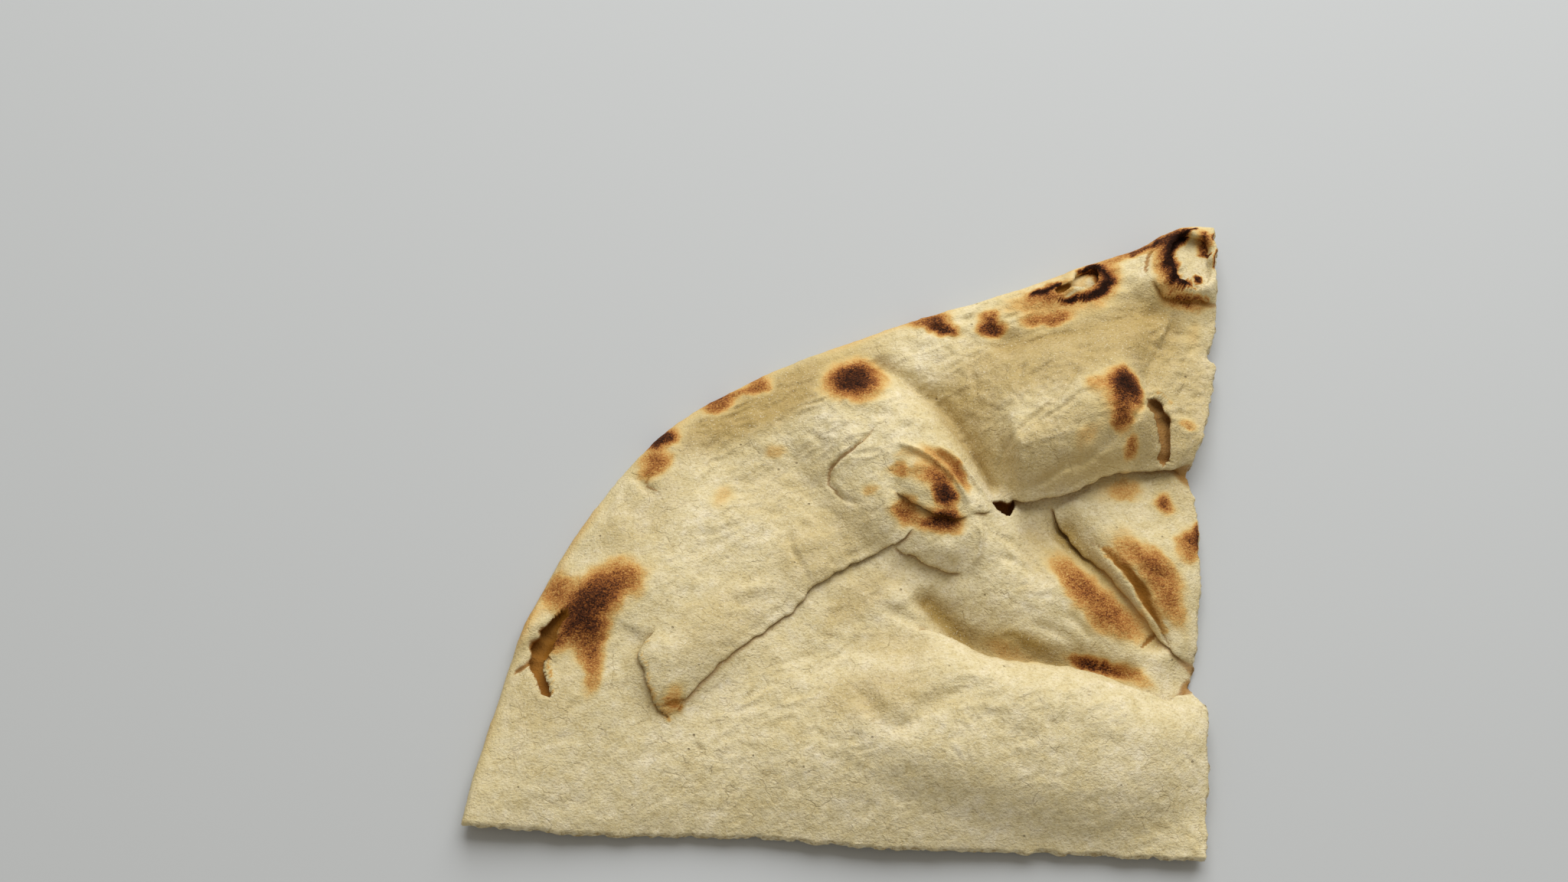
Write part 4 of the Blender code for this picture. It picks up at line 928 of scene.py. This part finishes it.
# ---------------------------------------------------------------------------
# The bread's body: the surface above as one closed mesh, put where the solid lies, with its baking, its
# olive tone and painted shade, its browned insides and its crumb kept as point attributes.

low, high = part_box("roti")
place = (np.array(low) + np.array(high)) / 2 / MM
middle = (vertices.min(axis=0) + vertices.max(axis=0)) / 2
vertices += (place[0] - middle[0], place[1] - middle[1], -vertices[:, 2].min())

mesh = bpy.data.meshes.new("baked_sheet")
corners = np.concatenate([four_sided.ravel(), fan.ravel()])
sizes = np.concatenate([np.full(len(four_sided), 4), np.full(len(fan), 3)])
mesh.vertices.add(len(vertices))
mesh.vertices.foreach_set("co", (vertices * MM).ravel())
mesh.loops.add(len(corners))
mesh.loops.foreach_set("vertex_index", corners)
mesh.polygons.add(len(sizes))
mesh.polygons.foreach_set("loop_start", np.concatenate([[0], np.cumsum(sizes)[:-1]]))
mesh.update(calc_edges=True)
mesh.validate()
for name, values in {"bake": bake, "crumb": crumb, "hollow": olive_and_hollow_shade, "inside": inside_brown_and_shade}.items():
    mesh.attributes.new(name, "FLOAT", "POINT").data.foreach_set("value", values.astype(np.float32))
mesh.shade_smooth()
bread = bpy.data.objects.new("baked_sheet", mesh)
bpy.context.scene.collection.objects.link(bread)


# ---------------------------------------------------------------------------
# The bread's finish: matt dough, cream to olive, the olive partly painted shade, with flour-pale grain that
# also stands in for painted glints, and fine pores; baked parts go through gold and brown to black in small
# grains.

crust = bpy.data.materials.new("baked dough")
crust.use_nodes = True
tree = crust.node_tree
shader = tree.nodes["Principled BSDF"]


def screen(red, green, blue):
    """Linear colour, with full cover, of a screen colour whose parts go from 11 to 255."""
    return (*[((c / 255 + 0.055) / 1.055) ** 2.4 for c in (red, green, blue)], 1.0)


FLOUR_AND_GLINTS = screen(242, 233, 206)
CRACK_BROWN = screen(150, 122, 70)
PIT_BROWN = screen(100, 74, 38)
INSIDE_BROWN_AND_SHADE = screen(148, 98, 36)
DOUGH = [(0.38, screen(213, 196, 148)), (0.47, screen(220, 205, 161)), (0.55, screen(226, 212, 172)),
         (0.66, screen(233, 221, 189))]
# olive: the dough's own tone where the skin is thin, and painted shade in hollows and crevices
OLIVE_AND_SHADE = [(0.4, screen(192, 169, 112)), (1.0, screen(166, 136, 66))]
PORE_SHADES = [(0.35, screen(124, 96, 44)), (0.43, screen(226, 212, 176)), (0.55, screen(255, 255, 255))]
TOASTED = [
    (0.0, screen(224, 208, 164)), (0.14, screen(221, 198, 138)), (0.30, screen(208, 168, 100)),
    (0.46, screen(184, 129, 66)), (0.62, screen(148, 90, 42)), (0.78, screen(92, 51, 28)),
    (0.96, screen(40, 25, 19)),
]
CRUMB = [(0.40, screen(172, 144, 92)), (0.50, screen(226, 210, 166)), (0.62, screen(240, 230, 198))]
CRUMB_SHOWS = 0.75
GRAIN_SCALE = 3000.0  # grains of about 0.3 mm
CRACK_SCALE = 260.0
CRACK_BEND_SCALE = 380.0
CRACK_BEND = 0.0028  # how far noise bends the cracks, in metres
PIT_SCALE = 210.0
CRUST_ROUGHNESS = 0.78
CRUST_SHINE = 0.3
BUMP_STRENGTH = 0.9
BUMP_HEIGHT = 0.0003  # metres


def socket(value, target):
    """Link a node's output to the target, or set the target's own value."""
    if isinstance(value, bpy.types.NodeSocket):
        tree.links.new(value, target)
    else:
        target.default_value = value


def attribute(name):
    """The value of a point attribute."""
    node = tree.nodes.new("ShaderNodeAttribute")
    node.attribute_name = name
    return node.outputs["Fac"]


def maths(operation, a, b, clamp=False):
    """One sum of two values."""
    node = tree.nodes.new("ShaderNodeMath")
    node.operation = operation
    node.use_clamp = clamp
    socket(a, node.inputs[0])
    socket(b, node.inputs[1])
    return node.outputs[0]


def times(a, b):
    """Product of two values."""
    return maths("MULTIPLY", a, b)


def plus(a, b, clamp=False):
    """Sum of two values."""
    return maths("ADD", a, b, clamp)


def less(a, b, clamp=False):
    """The first value without the second."""
    return maths("SUBTRACT", a, b, clamp)


def noise(scale, detail=2.0, roughness=0.5, stretch=(1.0, 1.0, 1.0), angle=0.0, distortion=0.0):
    """Noise on object coordinates, turned, squeezed along the axes and distorted."""
    mapping = tree.nodes.new("ShaderNodeMapping")
    mapping.inputs["Scale"].default_value = stretch
    mapping.inputs["Rotation"].default_value = (0, 0, math.radians(angle))
    tree.links.new(coordinates, mapping.inputs["Vector"])
    node = tree.nodes.new("ShaderNodeTexNoise")
    node.inputs["Scale"].default_value = scale
    node.inputs["Detail"].default_value = detail
    node.inputs["Roughness"].default_value = roughness
    node.inputs["Distortion"].default_value = distortion
    tree.links.new(mapping.outputs["Vector"], node.inputs["Vector"])
    return node.outputs["Fac"]


def cells(scale, vector, feature="F1"):
    """Distance to the nearest middle of irregular cells, or to their borders."""
    node = tree.nodes.new("ShaderNodeTexVoronoi")
    node.feature = feature
    node.inputs["Scale"].default_value = scale
    tree.links.new(vector, node.inputs["Vector"])
    return node.outputs["Distance"]


def bent(scale, distance):
    """Object coordinates, shifted by the distance times the colour of noise."""
    node = tree.nodes.new("ShaderNodeVectorMath")
    node.operation = "MULTIPLY_ADD"
    bender = tree.nodes.new("ShaderNodeTexNoise")
    bender.inputs["Scale"].default_value = scale
    tree.links.new(coordinates, bender.inputs["Vector"])
    tree.links.new(bender.outputs["Color"], node.inputs[0])
    node.inputs[1].default_value = (distance, distance, distance)
    tree.links.new(coordinates, node.inputs[2])
    return node.outputs["Vector"]


def ramp(value, stops):
    """Colour band over a value."""
    node = tree.nodes.new("ShaderNodeValToRGB")
    band = node.color_ramp
    while len(band.elements) < len(stops):
        band.elements.new(0.5)
    for element, (position, colour) in zip(band.elements, stops):
        element.position = position
        element.color = colour
    socket(value, node.inputs["Fac"])
    return node.outputs["Color"]


def mask(value, stops):
    """Grey band over a value: how much of something shows."""
    return ramp(value, [(position, (grey, grey, grey, 1.0)) for position, grey in stops])


def mix(amount, a, b, blend="MIX"):
    """Blend two colours."""
    node = tree.nodes.new("ShaderNodeMix")
    node.data_type = "RGBA"
    node.blend_type = blend
    socket(amount, node.inputs["Factor"])
    socket(a, node.inputs["A"])
    socket(b, node.inputs["B"])
    return node.outputs["Result"]


coordinates = tree.nodes.new("ShaderNodeTexCoord").outputs["Object"]
baking, crumbs = attribute("bake"), attribute("crumb")
olive_and_hollow_shade_level, within = attribute("hollow"), attribute("inside")

grain = noise(GRAIN_SCALE, 1.0)
pores = noise(1700.0, 3.0, 0.6, stretch=(1.0, 1.4, 1.0), angle=25.0)
wrinkles = plus(noise(750.0, 3.0, 0.6, stretch=(0.8, 1.6, 1.0), angle=-35.0, distortion=0.8),
                noise(620.0, 3.0, 0.6, stretch=(1.7, 0.8, 1.0), angle=-20.0, distortion=0.8))
crackle = noise(1050.0, 2.0, 0.6, stretch=(1.0, 1.6, 1.0), angle=30.0, distortion=2.0)
mottle = noise(420.0, 4.0, 0.6)
patches = noise(90.0, 3.0, 0.55)

dough = ramp(plus(times(mottle, 0.6), times(patches, 0.4)), DOUGH)
# towards olive: partly the dough's own tone, partly painted shade in hollows and crevices
dough = mix(mask(olive_and_hollow_shade_level, [(0.0, 0.0), (0.6, 0.62), (1.0, 0.9)]), dough, ramp(olive_and_hollow_shade_level, OLIVE_AND_SHADE))
dough = mix(0.3, dough, ramp(pores, PORE_SHADES), "MULTIPLY")
# pale specks: flour on the skin, and painted glints
dough = mix(mask(grain, [(0.63, 0.0), (0.72, 0.45)]), dough, FLOUR_AND_GLINTS)

# short cracks between cells whose borders noise has bent, and pits in the skin
cracks = cells(CRACK_SCALE, bent(CRACK_BEND_SCALE, CRACK_BEND), "DISTANCE_TO_EDGE")
cracked = times(mask(cracks, [(0.0, 1.0), (0.05, 0.0)]), mask(noise(230.0), [(0.52, 0.0), (0.64, 1.0)]))
pitted = mask(cells(PIT_SCALE, coordinates), [(0.035, 1.0), (0.06, 0.0)])
dough = mix(times(cracked, 0.22), dough, CRACK_BROWN)
dough = mix(times(pitted, 0.6), dough, PIT_BROWN)

# the browning breaks up into grains, most of all where it is half done
grains = plus(times(less(grain, 0.5), 1.1), times(less(crackle, 0.5), 1.6))
half_done = times(times(times(baking, baking), less(1.05, baking)), 3.0)
toasted = ramp(plus(baking, times(grains, half_done), clamp=True), TOASTED)
colour = mix(mask(baking, [(0.03, 0.0), (0.30, 1.0)]), dough, toasted)
airy = ramp(noise(900.0, 3.0, 0.7, stretch=(1.0, 1.0, 1.6)), CRUMB)
colour = mix(times(crumbs, CRUMB_SHOWS), colour, airy)
# inside folds, tears and blisters: a warm brown, partly the toasted inner dough and partly painted shade
colour = mix(mask(within, [(0.2, 0.0), (0.45, 0.6), (0.9, 0.96)]), colour, INSIDE_BROWN_AND_SHADE)
tree.links.new(colour, shader.inputs["Base Color"])

shader.inputs["Roughness"].default_value = CRUST_ROUGHNESS
shine = times(less(1.0, baking), less(1.0, within, clamp=True))
tree.links.new(times(shine, CRUST_SHINE), shader.inputs["Specular IOR Level"])
relief = plus(times(pores, 0.6), times(grain, 0.3))
relief = plus(relief, times(wrinkles, 0.6))
relief = less(relief, times(cracked, 0.3))
relief = less(relief, times(pitted, 0.5))
relief = plus(relief, times(times(baking, crackle), 1.2))
bump = tree.nodes.new("ShaderNodeBump")
bump.inputs["Strength"].default_value = BUMP_STRENGTH
bump.inputs["Distance"].default_value = BUMP_HEIGHT
tree.links.new(relief, bump.inputs["Height"])
tree.links.new(bump.outputs["Normal"], shader.inputs["Normal"])

mesh.materials.append(crust)
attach(bread, "root")
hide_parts("roti")
